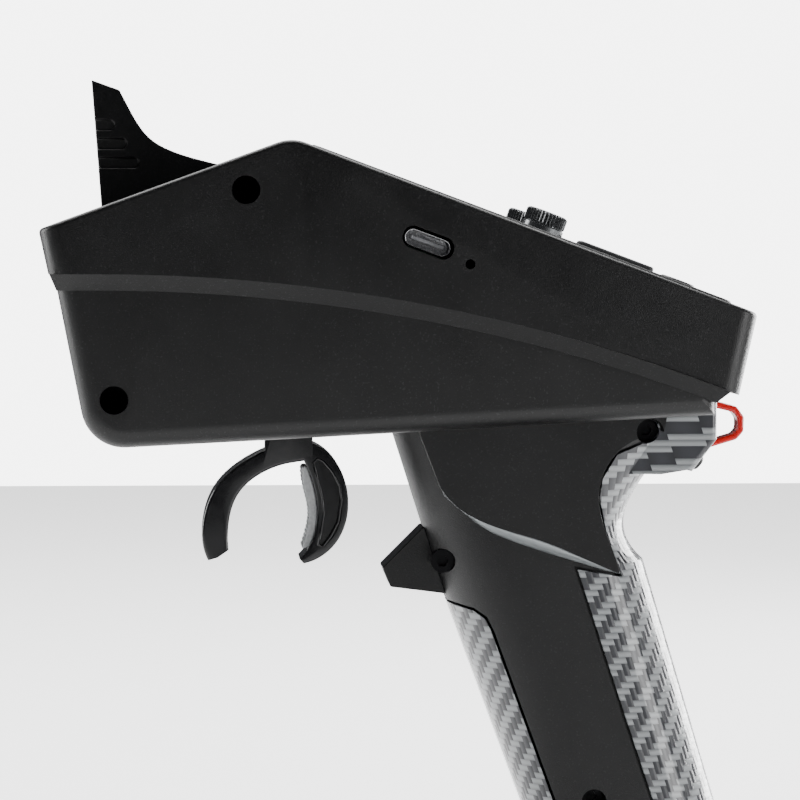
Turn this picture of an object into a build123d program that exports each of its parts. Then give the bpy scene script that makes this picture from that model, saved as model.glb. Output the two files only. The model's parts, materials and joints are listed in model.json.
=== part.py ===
from build123d import *
import os
from math import cos, hypot, radians, sin, sqrt, tan

# Pistol-grip radio transmitter for model cars and boats.
# +X is the rear, towards the driver's hand, -Y is the transmitter's left side, +Z is up.
# The origin is the middle of the foot's underside.  Millimetres throughout.

# ---------------------------------------------------------------- driving dimensions
# Head: a wide box with a roofed top, split down its middle
head_half_width = 38.0
head_length = 132.4
nose_x = -103.6
nose_z = 152.2
ridge_setback = 46.0
front_slope = 20.0
rear_slope = 20.5
ridge_radius = 7.5
nose_lean = 12.1
tail_lean = 12.8
wall = 2.2
side_taper = 3.5
taper_start_x = -54.6
corner_radius = 4.0
edge_round = 0.9

# Seam between the upper housing and the narrower lower housing
seam_z = 144.1
seam_bend_x = -92.6
seam_radius = 320.0
seam_lip = 0.4
band_height = 3.0
band_inset = 2.6
nose_step = 1.2

# Lower housing
chin_lean = 11.0
floor_x = -87.6
floor_z = 112.3
floor_rise = 2.9
lower_rear_x = 21.1
chin_radius = 8.0

# Control panel on the rear roof
panel_start = 4.0
panel_length = 83.0
panel_half_width = 32.0
panel_thick = 2.2
panel_proud = 0.4
window_start = 9.0
window_length = 31.0
window_half_width = 24.0
window_thick = 1.4
board_depth = 10.9
board_thick = 1.6

# Knobs, keys and trims on the panel
knob_radius = 4.0
knob_proud = 4.3
knob_u = 50.0
knob_v = 20.0
key_radius = 3.4
key_u = 78.0
key_pitch = 15.0
trim_u = 65.0
trim_v = 17.0
trim_length = 15.0
trim_width = 6.0
trim_gap = 0.55
power_radius = 4.6
key_gap = 0.3
key_proud = 0.8

# USB-C port and reset switch
usb_width = 8.94
usb_height = 3.26
usb_radius = 1.6
usb_length = 7.35
usb_u = 30.0
usb_depth = 9.2
usb_recess = 2.5
usb_gap = 0.45
reset_u = 38.6
reset_hole = 0.9

# Steering wheel on the right
wheel_x = -56.0
wheel_z = 139.5
wheel_radius = 28.0
wheel_width = 26.0
grip_foam = 4.5
rim_thick = 2.4
wheel_gap = 3.0
pod_radius = 22.0
pod_height = 9.0
shaft_radius = 3.0
bearing_radius = 5.0
bearing_width = 3.0
running_gap = 0.05

# Trigger
pivot_x = -57.5
pivot_z = 118.5
trigger_half_width = 6.0
trigger_gap = 1.2
pin_radius = 1.5

# Grip
grip_half_width = 17.0
plate_half_width = 18.6
inlay_thick = 1.4
groove = 0.5
spur_half_width = 5.3

# Foot
foot_length = 76.0
foot_width = 62.0
foot_height = 20.0
foot_corner = 10.0
foot_shoulder = 4.0
pad_height = 1.2
pad_radius = 5.0
cover_pad_length = 36.0
cover_pad_width = 14.0
bay_length = 64.0
bay_width = 48.0
cover_thick = 1.8
cover_gap = 0.25

# Screws
screw_head_radius = 2.2
screw_head_height = 1.6
screw_radius = 1.3
counterbore_radius = 2.6
boss_radius = 3.4
screw_seat_y = -12.0
screw_tip_y = 6.0


# ---------------------------------------------------------------- shared helpers
os.makedirs("parts", exist_ok=True)


def save(piece, name):
    piece.label = name
    export_step(piece, f"parts/{name}.step")


def side_outline(points):
    """A face in the XZ plane through the given points, as (x, z), with straight edges."""
    with BuildSketch(Plane.XZ) as outline:
        with BuildLine():
            Polyline(*points, close=True)
        make_face()
    return outline.sketch


def side_slab(face, low, high):
    """A side outline extruded between two Y stations."""
    with BuildPart() as slab:
        extrude(face, amount=-(high - low))
    return slab.part.moved(Location((0, low, 0)))


def seam_at(x):
    reach = max(0.0, x - seam_bend_x)
    return seam_z - seam_radius + sqrt(seam_radius**2 - reach**2)


def floor_at(x):
    return floor_z + (x - floor_x) * tan(radians(floor_rise))


def roof_point(u, depth=0.0):
    """(x, z) at u along the rear roof from the ridge, and depth below its surface."""
    x = ridge[0] + u * cos(radians(rear_slope)) - depth * sin(radians(rear_slope))
    z = ridge[1] - u * sin(radians(rear_slope)) - depth * cos(radians(rear_slope))
    return x, z


ridge = (nose_x + ridge_setback, nose_z + ridge_setback * tan(radians(front_slope)))
tail_x = nose_x + head_length
tail_z = ridge[1] - (tail_x - ridge[0]) * tan(radians(rear_slope))
roof = Plane(
    origin=(ridge[0], 0, ridge[1]),
    x_dir=(cos(radians(rear_slope)), 0, -sin(radians(rear_slope))),
    z_dir=(sin(radians(rear_slope)), 0, cos(radians(rear_slope))),
)
lower_half_width = head_half_width - seam_lip - band_inset
roof_axis = Axis((ridge[0], 0, ridge[1]), (sin(radians(rear_slope)), 0, cos(radians(rear_slope))))


def side_taper_at(x):
    """How far the side wall has drawn in at x, behind the crease."""
    return max(0.0, x - taper_start_x) * tan(radians(side_taper))


# ---------------------------------------------------------------- head shells
def seam_region(rise=0.0):
    """Everything under the seam curve, raised by rise."""
    sweep_angle = 35.0
    with BuildSketch(Plane.XZ) as region:
        with BuildLine():
            start = (nose_x - 30, seam_z + rise)
            bend = (seam_bend_x, seam_z + rise)
            Line(start, bend)
            seam_arc = CenterArc((seam_bend_x, seam_z + rise - seam_radius), seam_radius, 90, -sweep_angle)
            low_end = (seam_arc @ 1).X
            Polyline(seam_arc @ 1, (low_end, 0), (start[0], 0), start)
        make_face()
    return region.sketch


def taper_cutter(half_width):
    """Wedges that draw the side walls inwards behind the crease."""
    reach = 140.0
    lean = 4.3
    crease = Plane(origin=(taper_start_x, 0, seam_z), z_dir=(-sin(radians(lean)), 0, cos(radians(lean))))
    with BuildPart() as cutter:
        with BuildSketch(crease.offset(-reach / 2)):
            with BuildLine():
                Polyline(
                    (0, half_width),
                    (reach, half_width - reach * tan(radians(side_taper))),
                    (reach, half_width + reach),
                    (0, half_width + reach),
                    close=True,
                )
            make_face()
            mirror(about=Plane.XZ)
        extrude(amount=reach)
    return cutter.part


def upper_form(inset, seam_rise):
    """The roofed upper housing, inset all round, down to the seam raised by seam_rise."""
    skirt = 60.0
    lean_in = tan(radians(nose_lean))
    tail_in = tan(radians(tail_lean))
    with BuildSketch(Plane.XZ) as profile:
        with BuildLine():
            Polyline(
                (nose_x, nose_z),
                ridge,
                (tail_x, tail_z),
                (tail_x - skirt * tail_in, tail_z - skirt),
                (nose_x + skirt * lean_in, nose_z - skirt),
                close=True,
            )
        make_face()
        if inset:
            offset(amount=-inset, kind=Kind.INTERSECTION)
        fillet(profile.vertices().sort_by(Axis.Y)[-1], max(ridge_radius - inset, 1.0))
        add(seam_region(seam_rise), mode=Mode.SUBTRACT)
    half_width = head_half_width - inset
    cutter = taper_cutter(half_width)
    with BuildPart() as form:
        extrude(profile.sketch, amount=half_width, both=True)
        add(cutter, mode=Mode.SUBTRACT)
        corners = form.edges().filter_by(lambda e: abs(e.tangent_at(0.5).Z) > 0.9 and e.length > 4)
        corners = corners.filter_by(lambda e: abs(e.center().X - taper_start_x) > 30)
        fillet(corners, max(corner_radius - inset, 1.0))
        if not inset:
            rim = form.faces().filter_by(lambda f: f.normal_at().Z > 0.8)
            edges = ShapeList([e for face in rim for e in face.edges()])
            outer = edges.filter_by(lambda e: abs(e.tangent_at(0.5).Y) < 0.9)
            ends = edges.filter_by(lambda e: abs(e.tangent_at(0.5).Y) > 0.9)
            ends = ends.filter_by(lambda e: abs(e.center().X - ridge[0]) > 30)
            fillet(outer + ends, edge_round)
    return form.part


def band_cutter(side):
    """Under-cuts the band between the housings into a chamfer along one side."""
    y = side * (head_half_width - seam_lip)
    out = side * 30.0
    axis = Axis((seam_bend_x, 0, seam_z - seam_radius), (0, 1, 0))
    section = Plane(origin=(seam_bend_x, 0, 0), x_dir=(0, 1, 0), z_dir=(1, 0, 0))
    with BuildPart() as cutter:
        with BuildSketch(section) as triangle:
            with BuildLine():
                Polyline(
                    (y, seam_z + 0.02),
                    (y + out, seam_z + 0.02),
                    (y + out, seam_z - band_height - 1),
                    (y - side * band_inset, seam_z - band_height - 1),
                    (y - side * band_inset, seam_z - band_height),
                    close=True,
                )
            make_face()
        extrude(triangle.sketch, amount=-40)
        revolve(triangle.sketch, axis=axis, revolution_arc=30)
    return cutter.part


def band_form():
    """The bevelled band under the lip of the upper housing."""
    drop = 60.0
    rear = tail_x - (tail_z - seam_at(tail_x)) * tan(radians(tail_lean)) - 1.6
    front = nose_x + (nose_z - seam_z) * tan(radians(nose_lean)) + 0.3
    with BuildSketch(Plane.XZ) as profile:
        with BuildLine():
            Polyline(
                (front, seam_z),
                (front + nose_step, seam_z - band_height),
                (front + nose_step, seam_z - drop),
                (lower_rear_x, seam_z - drop),
                (lower_rear_x, seam_at(lower_rear_x) - band_height),
                (rear, seam_at(rear)),
                (rear, seam_z),
                close=True,
            )
        make_face()
        add(seam_region(), mode=Mode.INTERSECT)
        add(seam_region(-band_height), mode=Mode.SUBTRACT)
    half_width = head_half_width - seam_lip
    left = band_cutter(-1)
    right = band_cutter(1)
    crease_z = seam_at(taper_start_x)
    left_axis = Axis((taper_start_x, -half_width, crease_z), (0, 0, 1))
    right_axis = Axis((taper_start_x, half_width, crease_z), (0, 0, 1))
    with BuildPart() as form:
        extrude(profile.sketch, amount=half_width, both=True)
        add([left, right], mode=Mode.SUBTRACT)
        add(left.rotate(left_axis, side_taper), mode=Mode.SUBTRACT)
        add(right.rotate(right_axis, -side_taper), mode=Mode.SUBTRACT)
    return form.part


def lower_form(inset, seam_rise):
    """The lower housing, inset all round, up to the seam raised by seam_rise."""
    front = nose_x + (nose_z - seam_z) * tan(radians(nose_lean)) + 0.3 + nose_step
    top = seam_z - band_height
    chin = tan(radians(chin_lean))
    rise = tan(radians(floor_rise))
    chin_z = (floor_z + rise * (front + chin * top - floor_x)) / (1 + rise * chin)
    chin_x = front + chin * (top - chin_z)
    with BuildSketch(Plane.XZ) as profile:
        with BuildLine():
            Polyline(
                (front - chin * 20, top + 20),
                (chin_x, chin_z),
                (lower_rear_x, floor_at(lower_rear_x)),
                (lower_rear_x, top + 20),
                close=True,
            )
        make_face()
        fillet(profile.vertices().sort_by_distance((chin_x, chin_z))[0], chin_radius)
        if inset:
            offset(amount=-inset, kind=Kind.INTERSECTION)
        add(seam_region(seam_rise), mode=Mode.INTERSECT)
    half_width = lower_half_width - inset
    cutter = taper_cutter(half_width)
    with BuildPart() as form:
        extrude(profile.sketch, amount=half_width, both=True)
        add(cutter, mode=Mode.SUBTRACT)
        corners = form.edges().filter_by(lambda e: abs(e.tangent_at(0.5).Z) > 0.9)
        corners = corners.filter_by(lambda e: abs(e.center().X - taper_start_x) > 30)
        fillet(corners, max(corner_radius - 0.5 - inset, 1.0))
    return form.part


def post(x, z, radius, low, high):
    """A round bar along Y between two stations."""
    with BuildPart() as bar:
        with BuildSketch(Plane.XZ.offset(-low)) as disc:
            with Locations((x, z)):
                Circle(radius)
        extrude(disc.sketch, amount=-(high - low))
    return bar.part


def ring(x, z, outer, inner, low, high):
    """A round tube along Y between two stations."""
    with BuildPart() as tube:
        with BuildSketch(Plane.XZ.offset(-low)) as annulus:
            with Locations((x, z)):
                Circle(outer)
                Circle(inner, mode=Mode.SUBTRACT)
        extrude(annulus.sketch, amount=-(high - low))
    return tube.part


def roof_box(u, v, length, width, top, bottom, radius=0.0):
    """A block square to the rear roof, centred at (u, v), between two depths below it."""
    with BuildPart() as block:
        with BuildSketch(roof.offset(-bottom)) as plate:
            with Locations((u, v)):
                if radius:
                    RectangleRounded(length, width, radius)
                else:
                    Rectangle(length, width)
        extrude(plate.sketch, amount=bottom - top)
    return block.part


def roof_disc(u, v, radius, top, bottom):
    """A round bar square to the rear roof, between two depths below it."""
    with BuildPart() as disc:
        with BuildSketch(roof.offset(-bottom)) as circle:
            with Locations((u, v)):
                Circle(radius)
        extrude(circle.sketch, amount=bottom - top)
    return disc.part


# Head screws enter from the left, deep in their counterbores
head_screws = [(-65.9, 159.4), (-90.0, 121.1)]
panel_mid = panel_start + panel_length / 2
usb_x, usb_z = roof_point(usb_u, usb_depth)
reset_x, reset_z = roof_point(reset_u, board_depth - 0.7)
slot_front = pivot_x - 9.0
slot_rear = pivot_x + 11.0
slot_half_width = trigger_half_width + trigger_gap
fin_front = -94.4
fin_rear = -72.1
aerial_gap = 1.2
wall_hole_radius = 9.0
wire_x = -14.0
wire_hole_radius = 3.4
hatch = 4.0
board_start = 3.0
board_length = 80.0
board_half_width = 32.0
board_end = board_start + board_length
far = 100.0


def board_edge_at(u):
    """Half the main board's width at u, following the tapering walls."""
    return board_half_width - (u - board_start) * tan(radians(side_taper))



outer_upper = upper_form(0.0, 0.0)
outer_band = band_form()
outer_lower = lower_form(0.0, -band_height)
inner_upper = upper_form(wall, wall)
inner_lower = lower_form(wall, 6.0)
panel_pocket = roof_box(
    panel_mid, 0, panel_length + 2 * groove, 2 * (panel_half_width + groove), -5, panel_thick - panel_proud, 3.5
)
panel_window = roof_box(panel_mid, 0, panel_length - 2 * hatch, 2 * (panel_half_width - hatch), -5, 8, 2.5)
usb_plane = Plane(
    origin=(usb_x, 0, usb_z),
    x_dir=(cos(radians(rear_slope)), 0, -sin(radians(rear_slope))),
    z_dir=(0, -1, 0),
)
with BuildPart() as usb_hole:
    with BuildSketch(usb_plane.offset(head_half_width - 6)) as usb_mouth:
        RectangleRounded(usb_width + 2 * usb_gap, usb_height + 2 * usb_gap, usb_radius + usb_gap * 0.8)
    extrude(usb_mouth.sketch, amount=12)
fin_mid = (fin_front + fin_rear) / 2
fin_foot_z = nose_z + (fin_mid - nose_x) * tan(radians(front_slope))

head_bosses = []
head_bores = []
for x, z in head_screws:
    head_bosses.append(post(x, z, boss_radius + 0.6, -lower_half_width + 1, lower_half_width - 1))
    head_bores.append(post(x, z, counterbore_radius, -far, screw_seat_y))
    head_bores.append(post(x, z, screw_radius + 0.05, screw_seat_y - 1, screw_tip_y + 1))

with BuildPart() as head:
    add([outer_upper, outer_band, outer_lower])
    add([inner_upper, inner_lower], mode=Mode.SUBTRACT)
    add([panel_pocket, panel_window, usb_hole.part], mode=Mode.SUBTRACT)
    add(post(reset_x, reset_z, reset_hole, -far, -board_edge_at(reset_u) - 1), mode=Mode.SUBTRACT)
    with BuildSketch(Plane.XZ) as trigger_slot:
        with Locations(((slot_front + slot_rear) / 2, floor_at(pivot_x))):
            Rectangle(slot_rear - slot_front, 10)
    extrude(trigger_slot.sketch, amount=slot_half_width, both=True, mode=Mode.SUBTRACT)
    with BuildSketch(Plane.XZ) as aerial_slot:
        with Locations((fin_mid, fin_foot_z)):
            Rectangle(9.0, 12)
    extrude(aerial_slot.sketch, amount=aerial_gap, both=True, mode=Mode.SUBTRACT)
    add(post(wheel_x, wheel_z, wall_hole_radius, 20, far), mode=Mode.SUBTRACT)
    with BuildSketch(Plane.XY.offset(floor_z - 5)) as wire_hole:
        with Locations((wire_x, 0)):
            Circle(wire_hole_radius)
    extrude(wire_hole.sketch, amount=15, mode=Mode.SUBTRACT)
    add(head_bosses)
    add(head_bores, mode=Mode.SUBTRACT)
with BuildPart() as head_left_shell:
    add(head.part)
    split(bisect_by=Plane.XZ, keep=Keep.TOP)
with BuildPart() as head_right_shell:
    add(head.part)
    split(bisect_by=Plane.XZ, keep=Keep.BOTTOM)
save(head_left_shell.part, "head_left_shell")
save(head_right_shell.part, "head_right_shell")

# ---------------------------------------------------------------- control panel
key_places = [(key_u, -key_pitch), (key_u, 0), (key_u, key_pitch)]
key_names = ["key_back", "key_enter", "key_menu"]
trim_places = [(trim_u, -trim_v), (trim_u, trim_v)]
trim_names = ["throttle_trim", "steering_trim"]
knob_places = [(knob_u, -knob_v), (knob_u, knob_v)]
knob_names = ["knob_left", "knob_right"]
panel_under = panel_thick - panel_proud
trim_stem = 4.0
trim_pin_depth = 4.0
trim_pin_radius = 0.8
trim_ear = 1.4
stem_radius = 3.0

window = roof_box(
    window_start + window_length / 2, 0, window_length, 2 * window_half_width, -panel_proud, window_thick, 2.0
)
with BuildPart() as top_panel:
    with BuildSketch(roof.offset(-panel_under)) as plate:
        with Locations((panel_mid, 0)):
            RectangleRounded(panel_length, 2 * panel_half_width, 3.0)
    extrude(plate.sketch, amount=panel_thick)
    rim = top_panel.faces().sort_by(roof_axis)[-1]
    chamfer(rim.edges(), 0.3)
    add(window, mode=Mode.SUBTRACT)
    # The display's active area looks through a smaller opening under the lens
    with BuildSketch(roof.offset(-far)) as display_opening:
        with Locations((window_start + window_length / 2, 0)):
            RectangleRounded(window_length - 3, 2 * window_half_width - 3, 1.0)
    extrude(display_opening.sketch, amount=2 * far, mode=Mode.SUBTRACT)
    with BuildSketch(roof.offset(-far)) as holes:
        with Locations(*knob_places):
            Circle(stem_radius + 0.5)
        with Locations(*key_places):
            Circle(key_radius + key_gap)
        with Locations((trim_u, 0)):
            Circle(power_radius + key_gap)
        with Locations(*trim_places):
            Rectangle(trim_length + 2 * trim_gap, trim_width + 2 * key_gap)
    extrude(holes.sketch, amount=2 * far, mode=Mode.SUBTRACT)
save(top_panel.part, "top_panel")

with BuildPart() as screen_lens:
    add(window)
    chamfer(screen_lens.faces().sort_by(roof_axis)[-1].edges(), 0.25)
save(screen_lens.part, "screen_lens")

display_module = roof_box(
    window_start + window_length / 2, 0, window_length + 1, 2 * window_half_width + 4, panel_under, panel_under + 3.0
)
save(display_module, "display_module")

# ---------------------------------------------------------------- main board and its parts
with BuildPart() as main_board:
    with BuildSketch(roof.offset(-board_depth - board_thick)) as board_outline:
        with BuildLine():
            Polyline(
                (board_start, board_edge_at(board_start)),
                (board_end, board_edge_at(board_end)),
                (board_end, -board_edge_at(board_end)),
                (board_start, -board_edge_at(board_start)),
                close=True,
            )
        make_face()
        fillet(board_outline.vertices(), 2.0)
    extrude(board_outline.sketch, amount=board_thick)
    with BuildSketch(roof.offset(-far)) as board_holes:
        with Locations((board_start + board_length / 2, 0)):
            with GridLocations(board_length - 8, 2 * board_edge_at(board_end) - 8, 2, 2):
                Circle(1.2)
    extrude(board_holes.sketch, amount=2 * far, mode=Mode.SUBTRACT)
save(main_board.part, "main_board")

radio_module = roof_box(30, -12, 22, 16, board_depth + board_thick, board_depth + board_thick + 2.8, 0.8)
save(radio_module, "radio_module")
buzzer = roof_disc(62, 14, 6.0, board_depth + board_thick, board_depth + board_thick + 5.0)
save(buzzer, "buzzer")

reset_switch = roof_box(reset_u, -board_edge_at(reset_u) + 1.5, 4.0, 3.0, board_depth - 1.9, board_depth, 0.3)
save(reset_switch, "reset_switch")

# The USB-C receptacle stands on the board's left edge, its mouth behind the side wall
usb_mouth_y = head_half_width - usb_recess - side_taper_at(usb_x)
with BuildPart() as usb_c_port:
    with BuildSketch(usb_plane.offset(usb_mouth_y - usb_length)) as usb_shell:
        RectangleRounded(usb_width, usb_height, usb_radius)
    extrude(usb_shell.sketch, amount=usb_length)
    with BuildSketch(usb_plane.offset(usb_mouth_y - usb_length + 1)) as usb_bore:
        RectangleRounded(usb_width - 0.6, usb_height - 0.6, usb_radius - 0.3)
        Rectangle(6.7, 0.7, mode=Mode.SUBTRACT)
    extrude(usb_bore.sketch, amount=usb_length, mode=Mode.SUBTRACT)
save(usb_c_port.part, "usb_c_port")

# Keys: a cap through the panel, a flange that keeps it in, and a stem over its switch
switch_top = 6.4
key_travel = 0.6
flange_thick = 1.0


def key(u, v, radius):
    with BuildPart() as cap:
        with BuildSketch(roof.offset(-panel_under - flange_thick - 0.1)) as flange:
            with Locations((u, v)):
                Circle(radius + 1.0)
        extrude(flange.sketch, amount=flange_thick)
        with BuildSketch(roof.offset(-panel_under - 0.2)) as top:
            with Locations((u, v)):
                Circle(radius)
        extrude(top.sketch, amount=panel_thick + key_proud + 0.2)
        fillet(cap.faces().sort_by(roof_axis)[-1].edges(), 0.4)
        with BuildSketch(roof.offset(-switch_top + key_travel + 0.1)) as stem:
            with Locations((u, v)):
                Circle(1.5)
        extrude(stem.sketch, amount=switch_top - key_travel - 0.1 - panel_under)
    return cap.part


for name, (u, v) in zip(key_names, key_places):
    save(key(u, v, key_radius), name)
save(key(trim_u, 0, power_radius), "power_button")
with BuildPart() as key_switches:
    with BuildSketch(roof.offset(-board_depth)) as switch_bodies:
        with Locations(*key_places, (trim_u, 0)):
            Rectangle(6, 6)
    extrude(switch_bodies.sketch, amount=board_depth - switch_top - 0.8)
    with BuildSketch(roof.offset(-switch_top - 0.8)) as switch_tops:
        with Locations(*key_places, (trim_u, 0)):
            Circle(1.7)
    extrude(switch_tops.sketch, amount=0.8)
save(key_switches.part, "key_switches")

# Trim rockers on their forks
for name, (u, v) in zip(trim_names, trim_places):
    with BuildPart() as rocker:
        with BuildSketch(roof.offset(-trim_pin_depth + trim_pin_radius + 0.6)) as rocker_top:
            with Locations((u, v)):
                RectangleRounded(trim_length, trim_width, 1.0)
        extrude(rocker_top.sketch, amount=trim_pin_depth - trim_pin_radius - 0.6 + panel_proud + 1.2)
        crown = rocker.faces().sort_by(roof_axis)[-1]
        fillet(crown.edges(), 0.5)
        with BuildSketch(roof.offset(-trim_pin_depth - trim_pin_radius - 0.6)) as rocker_stem:
            with Locations((u, v)):
                Rectangle(trim_stem, trim_width - 1.0)
        extrude(rocker_stem.sketch, amount=2 * trim_pin_radius + 1.3)
        x, z = roof_point(u, trim_pin_depth)
        add(post(x, z, trim_pin_radius, v - trim_width / 2 - trim_ear, v + trim_width / 2 + trim_ear))
    save(rocker.part, name)
with BuildPart() as trim_forks:
    for u, v in trim_places:
        x, z = roof_point(u, trim_pin_depth)
        add(roof_box(u, v, 6.0, trim_width + 2 * trim_ear, board_depth - 2.0, board_depth))
        for side in (-1, 1):
            ear_v = v + side * (trim_width / 2 + trim_ear / 2)
            add(roof_box(u, ear_v, 3.6, trim_ear - 0.3, trim_pin_depth - 1.8, board_depth - 1.5))
        add(post(x, z, trim_pin_radius + running_gap, v - 8, v + 8), mode=Mode.SUBTRACT)
save(trim_forks.part, "trim_forks")

# Knurled knobs on potentiometers
rib_count = 36
pot_top = 6.0
for name, (u, v) in zip(knob_names, knob_places):
    with BuildPart() as knob:
        with BuildSketch(roof.offset(panel_proud + 0.3)) as skirt:
            with Locations((u, v)):
                Circle(knob_radius)
        extrude(skirt.sketch, amount=0.9)
        with BuildSketch(roof.offset(panel_proud + 1.2)) as knurl:
            with Locations((u, v)):
                Circle(knob_radius)
                with PolarLocations(knob_radius + 0.12, rib_count):
                    Circle(0.26, mode=Mode.SUBTRACT)
        extrude(knurl.sketch, amount=knob_proud - panel_proud - 1.2)
        with BuildSketch(roof.offset(-pot_top - 2.0)) as stem:
            with Locations((u, v)):
                Circle(stem_radius)
        extrude(stem.sketch, amount=pot_top + 2.4 + panel_proud)
    save(knob.part, name)
with BuildPart() as knob_pots:
    for u, v in knob_places:
        add(roof_box(u, v, 9.5, 9.5, pot_top, board_depth, 0.5))
        add(roof_disc(u, v, stem_radius + running_gap, pot_top - 1, pot_top + 2.2), mode=Mode.SUBTRACT)
save(knob_pots.part, "knob_pots")

# ---------------------------------------------------------------- aerial fin on the nose
fin_half_base = 4.8
fin_half_top = 2.6
fin_top_z = 180.7
fin_root_z = 152.0
groove_depth = 0.6
groove_height = 2.0
fin_groove_z = [164.9, 168.5, 172.1]
fin_groove_end = [-85.8, -88.1, -90.4]


def roof_front_at(x):
    return nose_z + (x - nose_x) * tan(radians(front_slope))


with BuildPart() as fin_block:
    with BuildSketch(Plane.XZ) as fin_outline:
        with BuildLine():
            Line((-94.8, fin_top_z), (-92.6, fin_root_z))
            Line((-92.6, fin_root_z), (fin_rear + 6.0, fin_root_z))
            Line((fin_rear + 6.0, fin_root_z), (fin_rear + 3.6, 164.1))
            Line((fin_rear + 3.6, 164.1), (fin_rear, 165.0))
            Spline((fin_rear, 165.0), (-79.0, 167.0), (-83.7, 169.6), (-87.3, 174.6), (-89.5, 178.8))
            Line((-89.5, 178.8), (-94.8, fin_top_z))
        make_face()
    extrude(fin_outline.sketch, amount=fin_half_base, both=True)
fin_taper = Plane(origin=(fin_front - 5, 0, roof_front_at(fin_front)), x_dir=(0, 1, 0), z_dir=(1, 0, 0))
fin_rise = fin_top_z - roof_front_at(fin_front)
with BuildPart() as fin_envelope:
    with BuildSketch(fin_taper) as trapezoid:
        with BuildLine():
            Polyline(
                (-fin_half_base, -10),
                (fin_half_base, -10),
                (fin_half_base, 3),
                (fin_half_top, fin_rise + 1),
                (-fin_half_top, fin_rise + 1),
                (-fin_half_base, 3),
                close=True,
            )
        make_face()
    extrude(trapezoid.sketch, amount=60)
with BuildPart() as fin_antenna_cover:
    add(fin_block.part)
    add(fin_envelope.part, mode=Mode.INTERSECT)
    add([outer_upper], mode=Mode.SUBTRACT)
    for z, end_x in zip(fin_groove_z, fin_groove_end):
        share = (z - roof_front_at(fin_front) - 3) / (fin_rise - 2)
        skin = fin_half_base + (fin_half_top - fin_half_base) * max(share, 0.0) - groove_depth
        with BuildSketch(Plane.XZ) as slot:
            with Locations((end_x - 12, z)):
                SlotOverall(24, groove_height)
        for side in (-1, 1):
            groove_cut = side_slab(slot.sketch, *sorted((side * skin, side * (skin + 5))))
            add(groove_cut, mode=Mode.SUBTRACT)
    # Pocket for the aerial board
    with BuildSketch(Plane.XZ) as pocket:
        with BuildLine():
            Polyline(
                (-91.5, 150), (-92.2, 176.5), (-90.6, 176.5),
                (-86.6, 169.5), (-81.8, 166.0), (-80.5, 150), close=True,
            )
        make_face()
    extrude(pocket.sketch, amount=0.8, both=True, mode=Mode.SUBTRACT)
save(fin_antenna_cover.part, "fin_antenna_cover")

with BuildPart() as antenna_board:
    with BuildSketch(Plane.XZ) as aerial:
        with BuildLine():
            Polyline(
                (-87.0, 152), (-87.0, 161), (-91.2, 163), (-91.8, 176.0),
                (-90.8, 176.0), (-87.2, 169.5), (-82.4, 165.6), (-80.2, 152), close=True,
            )
        make_face()
    extrude(aerial.sketch, amount=0.4, both=True)
save(antenna_board.part, "antenna_board")

# Aerial lead, a 1.4 mm coaxial cable clipped inside the head from the fin to the main board
lead_radius = 0.7
antenna_route = [
    (-84.0, 0.0, 151.9),
    (-83.0, -1.0, 147.0),
    (-78.0, -5.0, 143.5),
    (-70.0, -10.0, 143.0),
    (-58.0, -12.5, 143.5),
    (-46.0, -12.0, 146.2),
]
with BuildPart() as antenna_cable:
    with BuildLine() as route:
        FilletPolyline(*antenna_route, radius=[2.2, 3.5, 5.0, 6.0])
    with BuildSketch(Plane(origin=route.line @ 0, z_dir=route.line % 0)) as lead_section:
        Circle(lead_radius)
    sweep(sections=lead_section.sketch, path=route.line)
save(antenna_cable.part, "antenna_cable")

# ---------------------------------------------------------------- steering wheel
wall_outer = head_half_width
pod_top = wall_outer + pod_height
wheel_in = pod_top + wheel_gap
wheel_out = wheel_in + wheel_width
rim_radius = wheel_radius - grip_foam
hub_radius = 7.0
inner_bearing_y = 14.0
shaft_in = inner_bearing_y - 5.0
web_thick = 3.0
web_y = wheel_in + 6.0
magnet_radius = 3.0

wall_inner = lower_half_width - wall
with BuildPart() as wheel_pod:
    add(ring(wheel_x, wheel_z, pod_radius, bearing_radius, wall_inner, pod_top))
    fillet(wheel_pod.faces().sort_by(Axis.Y)[-1].edges().sort_by(SortBy.LENGTH)[-1], 2.0)
    add(ring(wheel_x, wheel_z, pod_radius - wall, bearing_radius + 2.5, 0, pod_top - wall), mode=Mode.SUBTRACT)
    add([outer_upper, outer_band, outer_lower], mode=Mode.SUBTRACT)
    with BuildSketch(Plane.XZ.offset(-pod_top)) as pod_holes:
        with Locations((wheel_x, wheel_z)):
            with PolarLocations(pod_radius - 5.0, 3, start_angle=90):
                Circle(1.2)
    extrude(pod_holes.sketch, amount=3 * wall, mode=Mode.SUBTRACT)
save(wheel_pod.part, "wheel_pod")

carrier_reach = 12.5
with BuildPart() as steering_housing:
    with BuildSketch(Plane.XZ.offset(-inner_bearing_y + 1.5)) as carrier:
        with Locations((wheel_x, wheel_z)):
            RectangleRounded(2 * carrier_reach + 6, 17, 3)
    extrude(carrier.sketch, amount=-(bearing_width + 3.5))
    carrier_top = inner_bearing_y - 1.5 + bearing_width + 3.5
    for side in (-1, 1):
        add(post(wheel_x + side * carrier_reach, wheel_z, 2.6, carrier_top, wall_inner))
    add(post(wheel_x, wheel_z, bearing_radius, inner_bearing_y, inner_bearing_y + bearing_width), mode=Mode.SUBTRACT)
    add(post(wheel_x, wheel_z, shaft_radius + 0.8, 0, far), mode=Mode.SUBTRACT)
    add(head_right_shell.part, mode=Mode.SUBTRACT)
save(steering_housing.part, "steering_housing")

bearing_seats = [inner_bearing_y, pod_top - bearing_width - 1.2]
with BuildPart() as steering_bearings:
    for seat in bearing_seats:
        add(ring(wheel_x, wheel_z, bearing_radius, shaft_radius + running_gap, seat, seat + bearing_width))
save(steering_bearings.part, "steering_bearings")

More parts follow.
